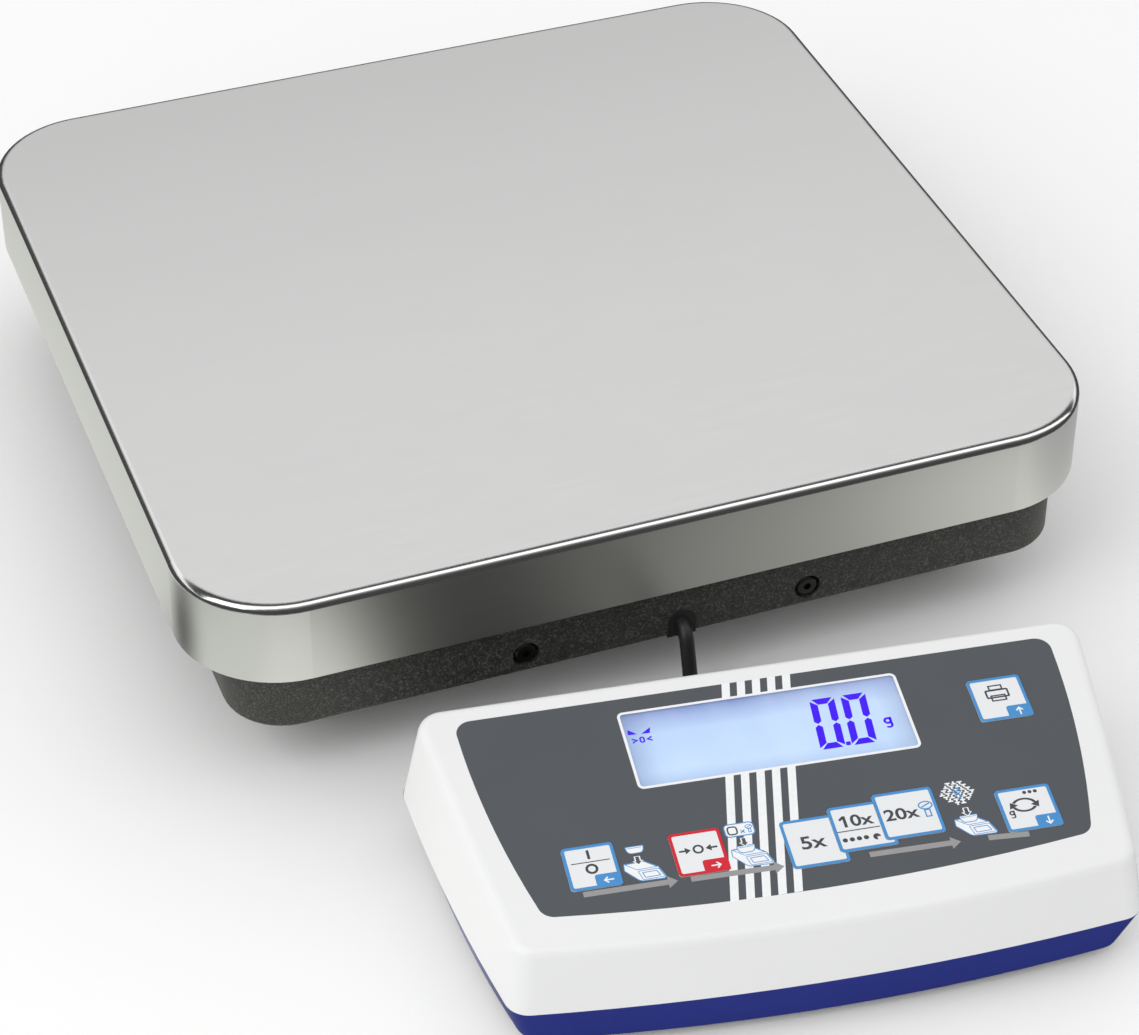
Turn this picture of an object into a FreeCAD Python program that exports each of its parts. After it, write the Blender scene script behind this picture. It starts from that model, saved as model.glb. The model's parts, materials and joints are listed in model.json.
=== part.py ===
import FreeCAD, Part
import math
import os

# Counting scale: a weighing platform and a separate display unit joined by a cable.
# Millimetres and degrees. The platform is drawn about its own centre, X along its front,
# Y to the rear, Z up from the table. The display unit is drawn in its own frame
# (U right, V rear, W up) and its sloping keypad in a third one (U, S up the slope, N out).

V3 = FreeCAD.Vector
UP = V3(0, 0, 1)
REARWARD = V3(0, 1, 0)

# Whole object
ORIGIN_Y = -82.33             # middle of the whole object, measured from the platform's middle

# Weighing pan
PAN_WIDTH = 318.0
PAN_DEPTH = 308.0
PAN_TOP = 75.0
PAN_SHEET = 1.0
PAN_SKIRT = 30.4
PAN_CORNER = 36.0
PAN_BEND = 2.8

# Platform housing
HOUSING_WIDTH = 294.0
HOUSING_DEPTH = 300.0
HOUSING_FRONT = -HOUSING_DEPTH / 2
HOUSING_BOTTOM = 22.0
HOUSING_RIM = 62.0
HOUSING_CORNER = 21.0
HOUSING_WALL = 3.0
HOUSING_EDGE = 2.0
FLOOR = HOUSING_BOTTOM + HOUSING_WALL

# Screws seen on the front wall
FRONT_SCREW_X = 50.0
FRONT_SCREW_Z = 29.6
FRONT_SCREW_RADIUS = 2.0
FRONT_SCREW_HEAD = 3.9
FRONT_SCREW_HEAD_HEIGHT = 2.2
FRONT_SCREW_HEAD_EDGE = 1.2
FRONT_SCREW_SOCKET = 2.5      # across flats
FRONT_SCREW_SOCKET_DEPTH = 1.3
FRONT_COUNTERBORE = 4.6
FRONT_COUNTERBORE_DEPTH = 2.4
FRONT_SEAT_DEPTH = 5.0
INSERT_RADIUS = 3.0
INSERT_LENGTH = 6.0
FRONT_BOSS = 6.5

# Load cell and its mountings
CELL_LENGTH = 130.0
CELL_WIDTH = 30.0
CELL_HEIGHT = 22.0
CELL_PAD_HEIGHT = 7.0
SPACER_HEIGHT = 3.0
SPACER_LENGTH = 36.0
CELL_BOTTOM = FLOOR + CELL_PAD_HEIGHT + SPACER_HEIGHT
CELL_TOP = CELL_BOTTOM + CELL_HEIGHT
CELL_SCREW_INNER = 42.0
CELL_SCREW_OUTER = 57.0
CELL_SCREW_RADIUS = 3.0
CELL_SCREW_HEAD = 5.0
CELL_SCREW_HEAD_HEIGHT = 4.5
CELL_SCREW_GRIP = 15.0
CELL_SCREW_SEAT = HOUSING_BOTTOM + 5.0
CELL_SCREW_SOCKET = 5.0       # across flats
CELL_EYE_RADIUS = 8.5
CELL_EYE_X = 17.0
CELL_SLOT_HEIGHT = 10.0

# Load carrier under the pan
CARRIER_BOTTOM = CELL_TOP + SPACER_HEIGHT
CARRIER_PLATE = 6.0
CARRIER_ARM_HEIGHT = 8.0
CARRIER_ARM_WIDTH = 20.0
CARRIER_PAD_RADIUS = 14.0
CARRIER_PAD_HEIGHT = 9.0
CARRIER_PAD_X = 112.0
CARRIER_PAD_Y = 108.0
CARRIER_CENTRE_LENGTH = 150.0
CARRIER_CENTRE_WIDTH = 56.0
BUFFER_RADIUS = 11.0
BUFFER_EDGE = 1.0
BUFFER_STEM = 3.0
BUFFER_STEM_LENGTH = 7.0

# Overload stops
STOP_X = 81.0
STOP_Y = STOP_X * CARRIER_PAD_Y / CARRIER_PAD_X
STOP_GAP = 0.8
STOP_BOSS_RADIUS = 8.0
STOP_BOSS_HEIGHT = 13.0
STOP_NUT_HEIGHT = 5.0
STOP_HEAD_HEIGHT = 4.0
HEX_ACROSS_FLATS = 10.0

# Levelling feet
FOOT_X = 118.0
FOOT_Y = 110.0
FOOT_PAD_RADIUS = 12.0
FOOT_PAD_HEIGHT = 5.0
FOOT_PAD_EDGE = 1.2
FOOT_SPIGOT_RADIUS = 3.0
FOOT_SPIGOT_BOTTOM = 2.0
FOOT_SOCKET_BOTTOM = 1.7
FOOT_SHOULDER_RADIUS = 5.0
FOOT_WHEEL_RADIUS = 13.0
FOOT_WHEEL_BOTTOM = 6.0
FOOT_WHEEL_TOP = 12.0
FOOT_WHEEL_GRIPS = 20
FOOT_GRIP_RADIUS = 1.3
FOOT_STUD_RADIUS = 4.0
FOOT_STUD_TOP = 34.0
BUSH_RADIUS = 6.0
BUSH_TOP = 33.0
FOOT_BOSS_RADIUS = 9.5
FOOT_CORNERS = {"front_left": (-1, -1), "front_right": (1, -1), "rear_left": (-1, 1), "rear_right": (1, 1)}

# Spirit level on the housing floor
LEVEL_X = -60.0
LEVEL_Y = -122.0
LEVEL_RADIUS = 9.0
LEVEL_HEIGHT = 9.0
VIAL_RADIUS = 7.0
VIAL_BASE = 2.5
VIAL_PROUD = 0.5
VIAL_EDGE = 1.5

# Cable
CABLE_RADIUS = 2.5
CABLE_EXIT_X = 4.8
CABLE_EXIT_Z = 27.6
CABLE_NOTCH_RADIUS = 5.0
CABLE_START_GAP = 0.6         # between the cable's inner end and the load cell
GROMMET_GAP = 0.15            # all round the cable
GROMMET_FLANGE = 1.5
GROMMET_FLANGE_RIM = 2.0
CABLE_INSIDE_DISPLAY = 14.0
CABLE_PORT_W = 12.0
CLIP_Y = -126.0
CLIP_WIDTH = 9.0
CLIP_HEIGHT = 7.0
CLIP_LEFT = 5.0
CLIP_RIGHT = 14.0
CLIP_SCREW_X = 9.5
CLIP_CHANNEL_SIDE = 1.0       # between the cable and the clip's channel, each side
CLIP_CHANNEL_TOP = 0.3
CLIP_SCREW_HEAD_HEIGHT = 2.0

# Display unit
DISPLAY_X = -1.0
DISPLAY_Y = -250.0
DISPLAY_YAW = -7.88
DISPLAY_TILT = 7.0
SHELL_WALL = 2.5
SHELL_BOTTOM = 3.0
PARTING_HEIGHT = 20.0
PANEL_HEIGHT = 47.0           # height of the sloping top at the display unit's own centre
SHELL_CORNER = 8.0
SHELL_TOP_EDGE = 3.5
SHELL_BOTTOM_EDGE = 2.0

# Outlines of the display unit: front middle, front corner (u, v), side middle, rear corner (u, v)
BOTTOM_OUTLINE = (-57.6, (92.8, -50.8), 102.6, (106.0, 46.0))
PARTING_OUTLINE = (-62.0, (97.6, -55.8), 107.3, (112.4, 51.7))
RIDGE_OUTLINE = (-56.9, (95.2, -50.8), 102.2, (107.8, 46.8))

# Keypad overlay in the sloping frame: half widths at its rear edge, middle and front edge
OVERLAY_REAR_S = 39.9
OVERLAY_FRONT_S = -45.1
OVERLAY_REAR_HALF = 96.3
OVERLAY_MIDDLE_HALF = 93.2
OVERLAY_FRONT_HALF = 84.6
OVERLAY_MIDDLE_S = 1.0
OVERLAY_FRONT_CORNER_S = -39.8
OVERLAY_CORNER = 5.0
OVERLAY_THICKNESS = 0.4

# Display window and what lies behind it
WINDOW_U = -1.0
WINDOW_S = 18.5
WINDOW_WIDTH = 90.0
WINDOW_HEIGHT = 31.5
WINDOW_CORNER = 2.0
LCD_TOP = -0.5
LCD_THICKNESS = 2.8
LCD_INSET = 0.2
LCD_FRAME_INSET = 0.1
BACKLIGHT_THICKNESS = 4.0
BACKLIGHT_INSET = 1.0
LCD_FRAME_RIM = 4.0
LCD_FRAME_BOTTOM = -8.0

# Keys: name, centre (u, s), size (u, s); a later card lies over an earlier one
KEYS = (
    ("power", (-66.7, -23.9), (15.9, 16.5)),
    ("tare", (-33.9, -24.7), (15.9, 16.5)),
    ("5x", (1.2, -27.4), (17.8, 18.5)),
    ("10x", (17.0, -24.4), (18.2, 17.5)),
    ("20x", (32.1, -22.2), (18.9, 18.0)),
    ("mode", (68.7, -27.2), (17.4, 16.6)),
    ("print", (73.5, 17.4), (17.3, 17.3)),
)
KEY_CORNER = 1.2
KEY_PROUD = 0.15
KEY_BODY_BOTTOM = -0.65
KEY_STROKE = 0.4
KEY_CLEARANCE = 0.15
KEY_POCKET_BOTTOM = KEY_BODY_BOTTOM - KEY_STROKE - 0.05
CARD_KEYS = ("5x", "10x", "20x")
PLUNGER_RADIUS = 2.5
PLUNGER_HOLE = 2.6
PLUNGER_BOTTOM = -2.3
PRINT_PLUNGER_BOTTOM = -6.3
DOME_RADIUS = 5.0
DOME_HEIGHT = 0.65
DOME_THICKNESS = 0.15

# Boards
KEYPAD_BOARD_TOP = -3.4
KEYPAD_BOARD_THICKNESS = 1.2
KEYPAD_BOARD_HALF = 74.0
KEYPAD_BOARD_S = (-36.0, -12.0)
KEYPAD_SCREWS = ((-50.0, -24.0), (50.5, -24.0))
MAIN_BOARD_TOP = -8.5
MAIN_BOARD_THICKNESS = 1.6
MAIN_BOARD_BOTTOM = MAIN_BOARD_TOP - MAIN_BOARD_THICKNESS
MAIN_BOARD_HALF = 82.0
MAIN_BOARD_S = (-4.0, 43.0)
MAIN_SCREW_U = 77.0
MAIN_SCREW_S = (1.0, 38.0)
STANDOFF_RADIUS = 3.0
BOARD_SCREW_RADIUS = 1.2
BOARD_SCREW_HOLE = 1.35
BOARD_SCREW_PILOT = 1.25
BOARD_SCREW_HEAD = 2.3
BOARD_SCREW_HEAD_HEIGHT = 1.6
MAIN_SCREW_TIP = -2.3
KEYPAD_SCREW_TIP = -1.3
STANDOFF_TOP = -1.0           # inside the top skin
RIBBON_THICKNESS = 0.3
RIBBON_U = (-30.0, -8.0)
RIBBON_OVERLAP = 4.0          # how far it lies under each board
RIBBON_REACH = 1.5            # how far it runs past each board before it slopes
BUZZER_U = -62.0
BUZZER_S = 26.0
BUZZER_RADIUS = 6.0
BUZZER_HEIGHT = 7.0
BUZZER_HOLE = 1.0
SWITCH_SIDE = 6.0
SWITCH_HEIGHT = 1.5
SWITCH_STEM_RADIUS = 1.7
SWITCH_STEM_TOP = -6.75
CHIPS = (((-47, -33), (12, 26), 1.8), ((-15, -4), (14, 22), 1.6), ((12, 20), (22, 28), 1.5))
CAPACITOR = (30.0, 30.0)
CAPACITOR_RADIUS = 4.0
CAPACITOR_HEIGHT = 8.0

# Shell screws and feet of the display unit
SHELL_SCREWS = ((-84.0, -40.0), (84.0, -40.0), (-92.0, 37.0), (92.0, 37.0))
SHELL_BOSS = 4.0
SHELL_SCREW_RADIUS = 1.5
SHELL_SCREW_HOLE = 1.6
SHELL_SCREW_PILOT = 1.55
SHELL_SCREW_HEAD = 2.8
SHELL_SCREW_HEAD_HEIGHT = 2.4
SHELL_SCREW_SOCKET = 2.0      # across flats
SHELL_SCREW_SEAT = 8.0
SHELL_SCREW_TOP = 30.0
DISPLAY_FEET = ((-66.0, -40.0), (66.0, -40.0), (-76.0, 36.0), (76.0, 36.0))
DISPLAY_FOOT_RADIUS = 6.0
DISPLAY_FOOT_EDGE = 0.8

# Battery and its door, under the right half
BATTERY_U = 46.0
BATTERY_V = 0.0
BATTERY_SHIFT = 1.0           # off the bay's middle, to leave room for the terminals
BATTERY_EDGE = 2.0
BATTERY_LENGTH = 48.5
BATTERY_WIDTH = 26.5
BATTERY_HEIGHT = 17.5
BATTERY_BOTTOM = 5.6
BATTERY_TERMINAL_RADIUS = 2.8
BATTERY_TERMINAL_LENGTH = 2.5
BATTERY_TERMINAL_OFFSET = 6.35
DOOR_LENGTH = 56.0
DOOR_WIDTH = 32.0
DOOR_LIP = 2.0
DOOR_CLEARANCE = 0.2
DOOR_PLATE = 1.5
DOOR_CORNER = 2.0
DOOR_GRIPS = 4
DOOR_GRIP_START = 14.0        # first finger groove, from the door's middle
DOOR_GRIP_PITCH = 3.0
DOOR_GRIP_WIDTH = 1.0
DOOR_GRIP_LENGTH = 18.0
DOOR_GRIP_DEPTH = 0.5
BAY_WALL = 1.6
BAY_TOP = 14.0

# Sockets in the rear wall
PORT_W = 31.0
DATA_PORT_U = 52.0
DATA_PORT_WIDTH = 24.6
DATA_PORT_HEIGHT = 10.6
DATA_PORT_CORNER = 2.5
DATA_PORT_SHEET = 0.8
DATA_PORT_FLANGE_WIDTH = 31.0
DATA_PORT_FLANGE_HEIGHT = 13.0
DATA_PORT_V = (40.0, 50.4)
DATA_PORT_INSERT_V = 48.5
DATA_PORT_FLANGE_V = (44.3, 45.3)
DATA_PORT_FLANGE_CORNER = 1.0
PIN_PITCH = 2.76
PIN_ROW = 1.42
PIN_HOLE = 0.6
PIN_HOLE_DEPTH = 5.0
DC_SOCKET_U = -52.0
DC_BARREL_RADIUS = 4.0
DC_BORE = 3.2
DC_PIN = 1.0
DC_PIN_INSET = 1.5
DC_BACK = 3.0                 # solid back of the socket body
DC_SOCKET_V = (34.0, 45.0, 50.2)
DC_BODY_WIDTH = 9.0
DC_BODY_HEIGHT = 11.0
PORT_CLEARANCE = 0.2
RING_RADIUS = 4.5
RING_BORE = 2.65
RING_PROUD = (1.0, 0.8)       # inside and outside the rear wall
SHELL_REAR_AT_PORT = 48.4     # outside of the rear wall, level with the cable

THREAD_CLEARANCE = 0.05
HEAD_CLEARANCE = 0.2
PAST = 1.0                    # how far a cutting tool runs past a face
THROUGH = 200.0               # longer than any piece, for cutting tools


# Shape helpers
def box(x, y, z):
    """A block from three (low, high) pairs."""
    return Part.makeBox(x[1] - x[0], y[1] - y[0], z[1] - z[0], V3(x[0], y[0], z[0]))


def rod(x, y, z, radius, axis=UP):
    """A round rod; z is a (low, high) pair along the axis, which is up or rearward."""
    if axis == UP:
        return Part.makeCylinder(radius, z[1] - z[0], V3(x, y, z[0]), UP)
    return Part.makeCylinder(radius, z[1] - z[0], V3(x, z[0], y), REARWARD)


def round_block(centre, size, z, radius):
    """A block with rounded upright edges."""
    half_x = size[0] / 2
    half_y = size[1] / 2
    block = box((centre[0] - half_x, centre[0] + half_x), (centre[1] - half_y, centre[1] + half_y), z)
    upright = [edge for edge in block.Edges if abs(edge.tangentAt(edge.FirstParameter).z) > 0.99]
    return block.makeFillet(radius, upright)


def hexagon(x, y, z, across_flats):
    """A hexagonal prism standing on its end."""
    radius = across_flats / math.sqrt(3)
    corners = []
    for k in range(7):
        angle = math.radians(60 * k)
        corners.append(V3(x + radius * math.cos(angle), y + radius * math.sin(angle), z[0]))
    return Part.Face(Part.makePolygon(corners)).extrude(V3(0, 0, z[1] - z[0]))


def edges_at_height(shape, height):
    """All edges that lie flat at one height."""
    return [edge for edge in shape.Edges
            if all(abs(vertex.Point.z - height) < 0.01 for vertex in edge.Vertexes)
            and abs(edge.CenterOfMass.z - height) < 0.01]


def fuse(shapes):
    return shapes[0].multiFuse(shapes[1:]).removeSplitter()


def cut(shape, tools):
    return shape.cut(Part.makeCompound(tools)) if tools else shape


def four(x, y):
    """The four mirrored places of a point."""
    return [(sx * x, sy * y) for sx in (-1, 1) for sy in (-1, 1)]


# Frames
def on_slope(shape):
    """Moves a shape from the sloping keypad frame to the display unit's frame."""
    moved = shape.copy()
    moved.Placement = FreeCAD.Placement(V3(0, 0, PANEL_HEIGHT),
                                        FreeCAD.Rotation(V3(1, 0, 0), DISPLAY_TILT)).multiply(moved.Placement)
    return moved


def in_display(shape):
    """Moves a shape from the display unit's frame to the platform's frame."""
    moved = shape.copy()
    moved.Placement = FreeCAD.Placement(V3(DISPLAY_X, DISPLAY_Y, 0),
                                        FreeCAD.Rotation(UP, DISPLAY_YAW)).multiply(moved.Placement)
    return moved


def display_point(u, v, w):
    yaw = math.radians(DISPLAY_YAW)
    return V3(DISPLAY_X + u * math.cos(yaw) - v * math.sin(yaw),
              DISPLAY_Y + u * math.sin(yaw) + v * math.cos(yaw), w)


# Platform
def weighing_pan():
    outer = round_block((0, 0), (PAN_WIDTH, PAN_DEPTH), (PAN_TOP - PAN_SKIRT, PAN_TOP), PAN_CORNER)
    outer = outer.makeFillet(PAN_BEND, edges_at_height(outer, PAN_TOP))
    inside = (PAN_WIDTH - 2 * PAN_SHEET, PAN_DEPTH - 2 * PAN_SHEET)
    under = PAN_TOP - PAN_SHEET
    inner = round_block((0, 0), inside, (PAN_TOP - PAN_SKIRT, under), PAN_CORNER - PAN_SHEET)
    inner = inner.makeFillet(PAN_BEND - PAN_SHEET, edges_at_height(inner, under))
    return outer.cut(inner)


def base_housing():
    outer = round_block((0, 0), (HOUSING_WIDTH, HOUSING_DEPTH), (HOUSING_BOTTOM, HOUSING_RIM), HOUSING_CORNER)
    outer = outer.makeFillet(HOUSING_EDGE, edges_at_height(outer, HOUSING_BOTTOM))
    inside = (HOUSING_WIDTH - 2 * HOUSING_WALL, HOUSING_DEPTH - 2 * HOUSING_WALL)
    inner = round_block((0, 0), inside, (FLOOR, HOUSING_RIM), HOUSING_CORNER - HOUSING_WALL)
    bosses = [rod(x, y, (HOUSING_BOTTOM, BUSH_TOP), FOOT_BOSS_RADIUS) for x, y in four(FOOT_X, FOOT_Y)]
    bosses += [rod(x, y, (HOUSING_BOTTOM, FLOOR + STOP_BOSS_HEIGHT), STOP_BOSS_RADIUS)
               for x, y in four(STOP_X, STOP_Y)]
    bosses.append(box((-CELL_LENGTH / 2, -CELL_LENGTH / 2 + SPACER_LENGTH), (-CELL_WIDTH / 2, CELL_WIDTH / 2),
                      (HOUSING_BOTTOM, FLOOR + CELL_PAD_HEIGHT)))
    seat_end = HOUSING_FRONT + FRONT_SEAT_DEPTH
    inner_end = seat_end + INSERT_LENGTH
    bosses += [rod(x, FRONT_SCREW_Z, (HOUSING_FRONT + HOUSING_WALL / 2, inner_end), FRONT_BOSS, REARWARD)
               for x in (-FRONT_SCREW_X, FRONT_SCREW_X)]
    tray = fuse([outer.cut(inner)] + bosses)
    holes = [rod(x, y, (0, THROUGH), BUSH_RADIUS) for x, y in four(FOOT_X, FOOT_Y)]
    holes += [rod(x, y, (FLOOR + 1, THROUGH), CELL_SCREW_RADIUS + THREAD_CLEARANCE)
              for x, y in four(STOP_X, STOP_Y)]
    for x in (-CELL_SCREW_OUTER, -CELL_SCREW_INNER):
        holes.append(rod(x, 0, (0, THROUGH), CELL_SCREW_RADIUS + THREAD_CLEARANCE))
        holes.append(rod(x, 0, (0, CELL_SCREW_SEAT), CELL_SCREW_HEAD + HEAD_CLEARANCE))
    for x in (-FRONT_SCREW_X, FRONT_SCREW_X):
        holes.append(rod(x, FRONT_SCREW_Z, (-THROUGH, HOUSING_FRONT + FRONT_COUNTERBORE_DEPTH),
                         FRONT_COUNTERBORE, REARWARD))
        holes.append(rod(x, FRONT_SCREW_Z, (-THROUGH, inner_end), FRONT_SCREW_RADIUS + THREAD_CLEARANCE,
                         REARWARD))
        holes.append(rod(x, FRONT_SCREW_Z, (seat_end, inner_end + PAST), INSERT_RADIUS, REARWARD))
    holes.append(cable_notch(PAST, HOUSING_WALL + GROMMET_FLANGE))
    return cut(tray, holes)


def cable_notch(proud, depth):
    """The arched opening at the foot of the front wall, as a solid."""
    y = (HOUSING_FRONT - proud, HOUSING_FRONT + depth)
    arch = rod(CABLE_EXIT_X, CABLE_EXIT_Z, y, CABLE_NOTCH_RADIUS, REARWARD)
    leg = box((CABLE_EXIT_X - CABLE_NOTCH_RADIUS, CABLE_EXIT_X + CABLE_NOTCH_RADIUS), y,
              (HOUSING_BOTTOM, CABLE_EXIT_Z))
    return fuse([arch, leg])


def load_cell():
    half = CELL_LENGTH / 2
    middle = (CELL_BOTTOM + CELL_TOP) / 2
    sides = (-CELL_WIDTH / 2, CELL_WIDTH / 2)
    block = box((-half, half), sides, (CELL_BOTTOM, CELL_TOP))
    tools = [rod(x, middle, (sides[0] - PAST, sides[1] + PAST), CELL_EYE_RADIUS, REARWARD)
             for x in (-CELL_EYE_X, CELL_EYE_X)]
    tools.append(box((-CELL_EYE_X, CELL_EYE_X), (sides[0] - PAST, sides[1] + PAST),
                     (middle - CELL_SLOT_HEIGHT / 2, middle + CELL_SLOT_HEIGHT / 2)))
    tools += [rod(x, 0, (0, THROUGH), CELL_SCREW_RADIUS + THREAD_CLEARANCE)
              for x in (-CELL_SCREW_OUTER, -CELL_SCREW_INNER, CELL_SCREW_INNER, CELL_SCREW_OUTER)]
    return cut(block, tools)


def cell_spacer(side, bottom):
    """The plate between the load cell and what it is bolted to; side -1 is the fixed end."""
    ends = sorted((side * CELL_LENGTH / 2, side * (CELL_LENGTH / 2 - SPACER_LENGTH)))
    plate = box(ends, (-CELL_WIDTH / 2, CELL_WIDTH / 2), (bottom, bottom + SPACER_HEIGHT))
    return cut(plate, [rod(side * x, 0, (0, THROUGH), CELL_SCREW_RADIUS + THREAD_CLEARANCE)
                       for x in (CELL_SCREW_INNER, CELL_SCREW_OUTER)])


def socket_screw(x, y, head, shank, head_radius, radius, socket):
    """A socket-head screw along Z; head and shank are (low, high) pairs."""
    screw = fuse([rod(x, y, head, head_radius), rod(x, y, shank, radius)])
    depth = (head[1] - head[0]) / 2
    outside_up = head[0] >= shank[1] - 0.01
    recess = (head[1] - depth, head[1] + PAST) if outside_up else (head[0] - PAST, head[0] + depth)
    return screw.cut(hexagon(x, y, recess, socket))


def load_cell_base_screws():
    head = (CELL_SCREW_SEAT - CELL_SCREW_HEAD_HEIGHT, CELL_SCREW_SEAT)
    shank = (CELL_SCREW_SEAT, CELL_BOTTOM + CELL_SCREW_GRIP)
    return Part.makeCompound([socket_screw(x, 0, head, shank, CELL_SCREW_HEAD, CELL_SCREW_RADIUS,
                                           CELL_SCREW_SOCKET)
                              for x in (-CELL_SCREW_OUTER, -CELL_SCREW_INNER)])


def carrier_screws():
    seat = CARRIER_BOTTOM + CARRIER_PLATE
    head = (seat, seat + CELL_SCREW_HEAD_HEIGHT)
    shank = (CELL_TOP - CELL_SCREW_GRIP, seat)
    return Part.makeCompound([socket_screw(x, 0, head, shank, CELL_SCREW_HEAD, CELL_SCREW_RADIUS,
                                           CELL_SCREW_SOCKET)
                              for x in (CELL_SCREW_INNER, CELL_SCREW_OUTER)])


def carrier_frame():
    """A cast cross: a middle plate, four ribbed arms and a round pad at each arm's end."""
    bottom = CARRIER_BOTTOM
    pieces = [box((-CARRIER_CENTRE_LENGTH / 2, CARRIER_CENTRE_LENGTH / 2),
                  (-CARRIER_CENTRE_WIDTH / 2, CARRIER_CENTRE_WIDTH / 2), (bottom, bottom + CARRIER_PLATE))]
    reach = math.hypot(CARRIER_PAD_X, CARRIER_PAD_Y)
    for x, y in four(CARRIER_PAD_X, CARRIER_PAD_Y):
        arm = box((reach / 4, reach), (-CARRIER_ARM_WIDTH / 2, CARRIER_ARM_WIDTH / 2),
                  (bottom, bottom + CARRIER_ARM_HEIGHT))
        arm.rotate(V3(0, 0, 0), UP, math.degrees(math.atan2(y, x)))
        pieces.append(arm)
        pieces.append(rod(x, y, (bottom, bottom + CARRIER_PAD_HEIGHT), CARRIER_PAD_RADIUS))
    frame = fuse(pieces)
    holes = [rod(x, y, (0, THROUGH), BUFFER_STEM + THREAD_CLEARANCE)
             for x, y in four(CARRIER_PAD_X, CARRIER_PAD_Y)]
    holes += [rod(x, 0, (0, THROUGH), CELL_SCREW_RADIUS + THREAD_CLEARANCE)
              for x in (CELL_SCREW_INNER, CELL_SCREW_OUTER)]
    holes.append(rod(0, 0, (0, THROUGH), CELL_EYE_X))
    return cut(frame, holes)


def pan_buffers():
    top = PAN_TOP - PAN_SHEET
    seat = CARRIER_BOTTOM + CARRIER_PAD_HEIGHT
    buffers = []
    for x, y in four(CARRIER_PAD_X, CARRIER_PAD_Y):
        cap = rod(x, y, (seat, top), BUFFER_RADIUS)
        cap = cap.makeFillet(BUFFER_EDGE, edges_at_height(cap, top))
        buffers.append(fuse([cap, rod(x, y, (seat - BUFFER_STEM_LENGTH, seat), BUFFER_STEM)]))
    return Part.makeCompound(buffers)


def overload_stop_screws():
    head_top = CARRIER_BOTTOM - STOP_GAP
    head_bottom = head_top - STOP_HEAD_HEIGHT
    return Part.makeCompound([fuse([rod(x, y, (FLOOR + 1, head_bottom), CELL_SCREW_RADIUS),
                                    hexagon(x, y, (head_bottom, head_top), HEX_ACROSS_FLATS)])
                              for x, y in four(STOP_X, STOP_Y)])


def overload_lock_nuts():
    seat = FLOOR + STOP_BOSS_HEIGHT
    bore = CELL_SCREW_RADIUS + THREAD_CLEARANCE
    return Part.makeCompound([hexagon(x, y, (seat, seat + STOP_NUT_HEIGHT), HEX_ACROSS_FLATS)
                              .cut(rod(x, y, (0, THROUGH), bore)) for x, y in four(STOP_X, STOP_Y)])


def foot_bushes():
    return Part.makeCompound([rod(x, y, (HOUSING_BOTTOM, BUSH_TOP), BUSH_RADIUS)
                              .cut(rod(x, y, (0, THROUGH), FOOT_STUD_RADIUS + THREAD_CLEARANCE))
                              for x, y in four(FOOT_X, FOOT_Y)])


def foot_pad(x, y):
    pad = rod(x, y, (0, FOOT_PAD_HEIGHT), FOOT_PAD_RADIUS)
    pad = pad.makeFillet(FOOT_PAD_EDGE, edges_at_height(pad, FOOT_PAD_HEIGHT))
    socket = rod(x, y, (FOOT_SOCKET_BOTTOM, THROUGH), FOOT_SPIGOT_RADIUS + THREAD_CLEARANCE)
    return pad.cut(socket)


def foot_wheel(x, y):
    wheel = rod(x, y, (FOOT_WHEEL_BOTTOM, FOOT_WHEEL_TOP), FOOT_WHEEL_RADIUS)
    grips = []
    for k in range(FOOT_WHEEL_GRIPS):
        angle = 2 * math.pi * k / FOOT_WHEEL_GRIPS
        grips.append(rod(x + FOOT_WHEEL_RADIUS * math.cos(angle), y + FOOT_WHEEL_RADIUS * math.sin(angle),
                         (0, THROUGH), FOOT_GRIP_RADIUS))
    wheel = cut(wheel, grips)
    return fuse([wheel, rod(x, y, (FOOT_SPIGOT_BOTTOM, FOOT_PAD_HEIGHT), FOOT_SPIGOT_RADIUS),
                 rod(x, y, (FOOT_PAD_HEIGHT, FOOT_WHEEL_BOTTOM), FOOT_SHOULDER_RADIUS),
                 rod(x, y, (FOOT_WHEEL_TOP, FOOT_STUD_TOP), FOOT_STUD_RADIUS)])


def front_screws():
    seat = HOUSING_FRONT + FRONT_COUNTERBORE_DEPTH
    top = seat - FRONT_SCREW_HEAD_HEIGHT
    screws = []
    for x in (-FRONT_SCREW_X, FRONT_SCREW_X):
        head = rod(x, FRONT_SCREW_Z, (top, seat), FRONT_SCREW_HEAD, REARWARD)
        rim = [edge for edge in head.Edges if abs(edge.CenterOfMass.y - top) < 0.01]
        head = head.makeFillet(FRONT_SCREW_HEAD_EDGE, rim)
        shank = rod(x, FRONT_SCREW_Z, (seat, HOUSING_FRONT + FRONT_SEAT_DEPTH + INSERT_LENGTH),
                    FRONT_SCREW_RADIUS, REARWARD)
        socket = hexagon(0, 0, (-PAST, FRONT_SCREW_SOCKET_DEPTH), FRONT_SCREW_SOCKET)
        socket.rotate(V3(0, 0, 0), V3(1, 0, 0), -90)
        socket.translate(V3(x, top, FRONT_SCREW_Z))
        screws.append(fuse([head, shank]).cut(socket))
    return Part.makeCompound(screws)


def front_screw_inserts():
    start = HOUSING_FRONT + FRONT_SEAT_DEPTH
    return Part.makeCompound([rod(x, FRONT_SCREW_Z, (start, start + INSERT_LENGTH), INSERT_RADIUS, REARWARD)
                              .cut(rod(x, FRONT_SCREW_Z, (-THROUGH, 0), FRONT_SCREW_RADIUS + THREAD_CLEARANCE,
                                   REARWARD))
                              for x in (-FRONT_SCREW_X, FRONT_SCREW_X)])


def bubble_level_body():
    cup = rod(LEVEL_X, LEVEL_Y, (FLOOR, FLOOR + LEVEL_HEIGHT), LEVEL_RADIUS)
    return cup.cut(rod(LEVEL_X, LEVEL_Y, (FLOOR + VIAL_BASE, THROUGH), VIAL_RADIUS))


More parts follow.
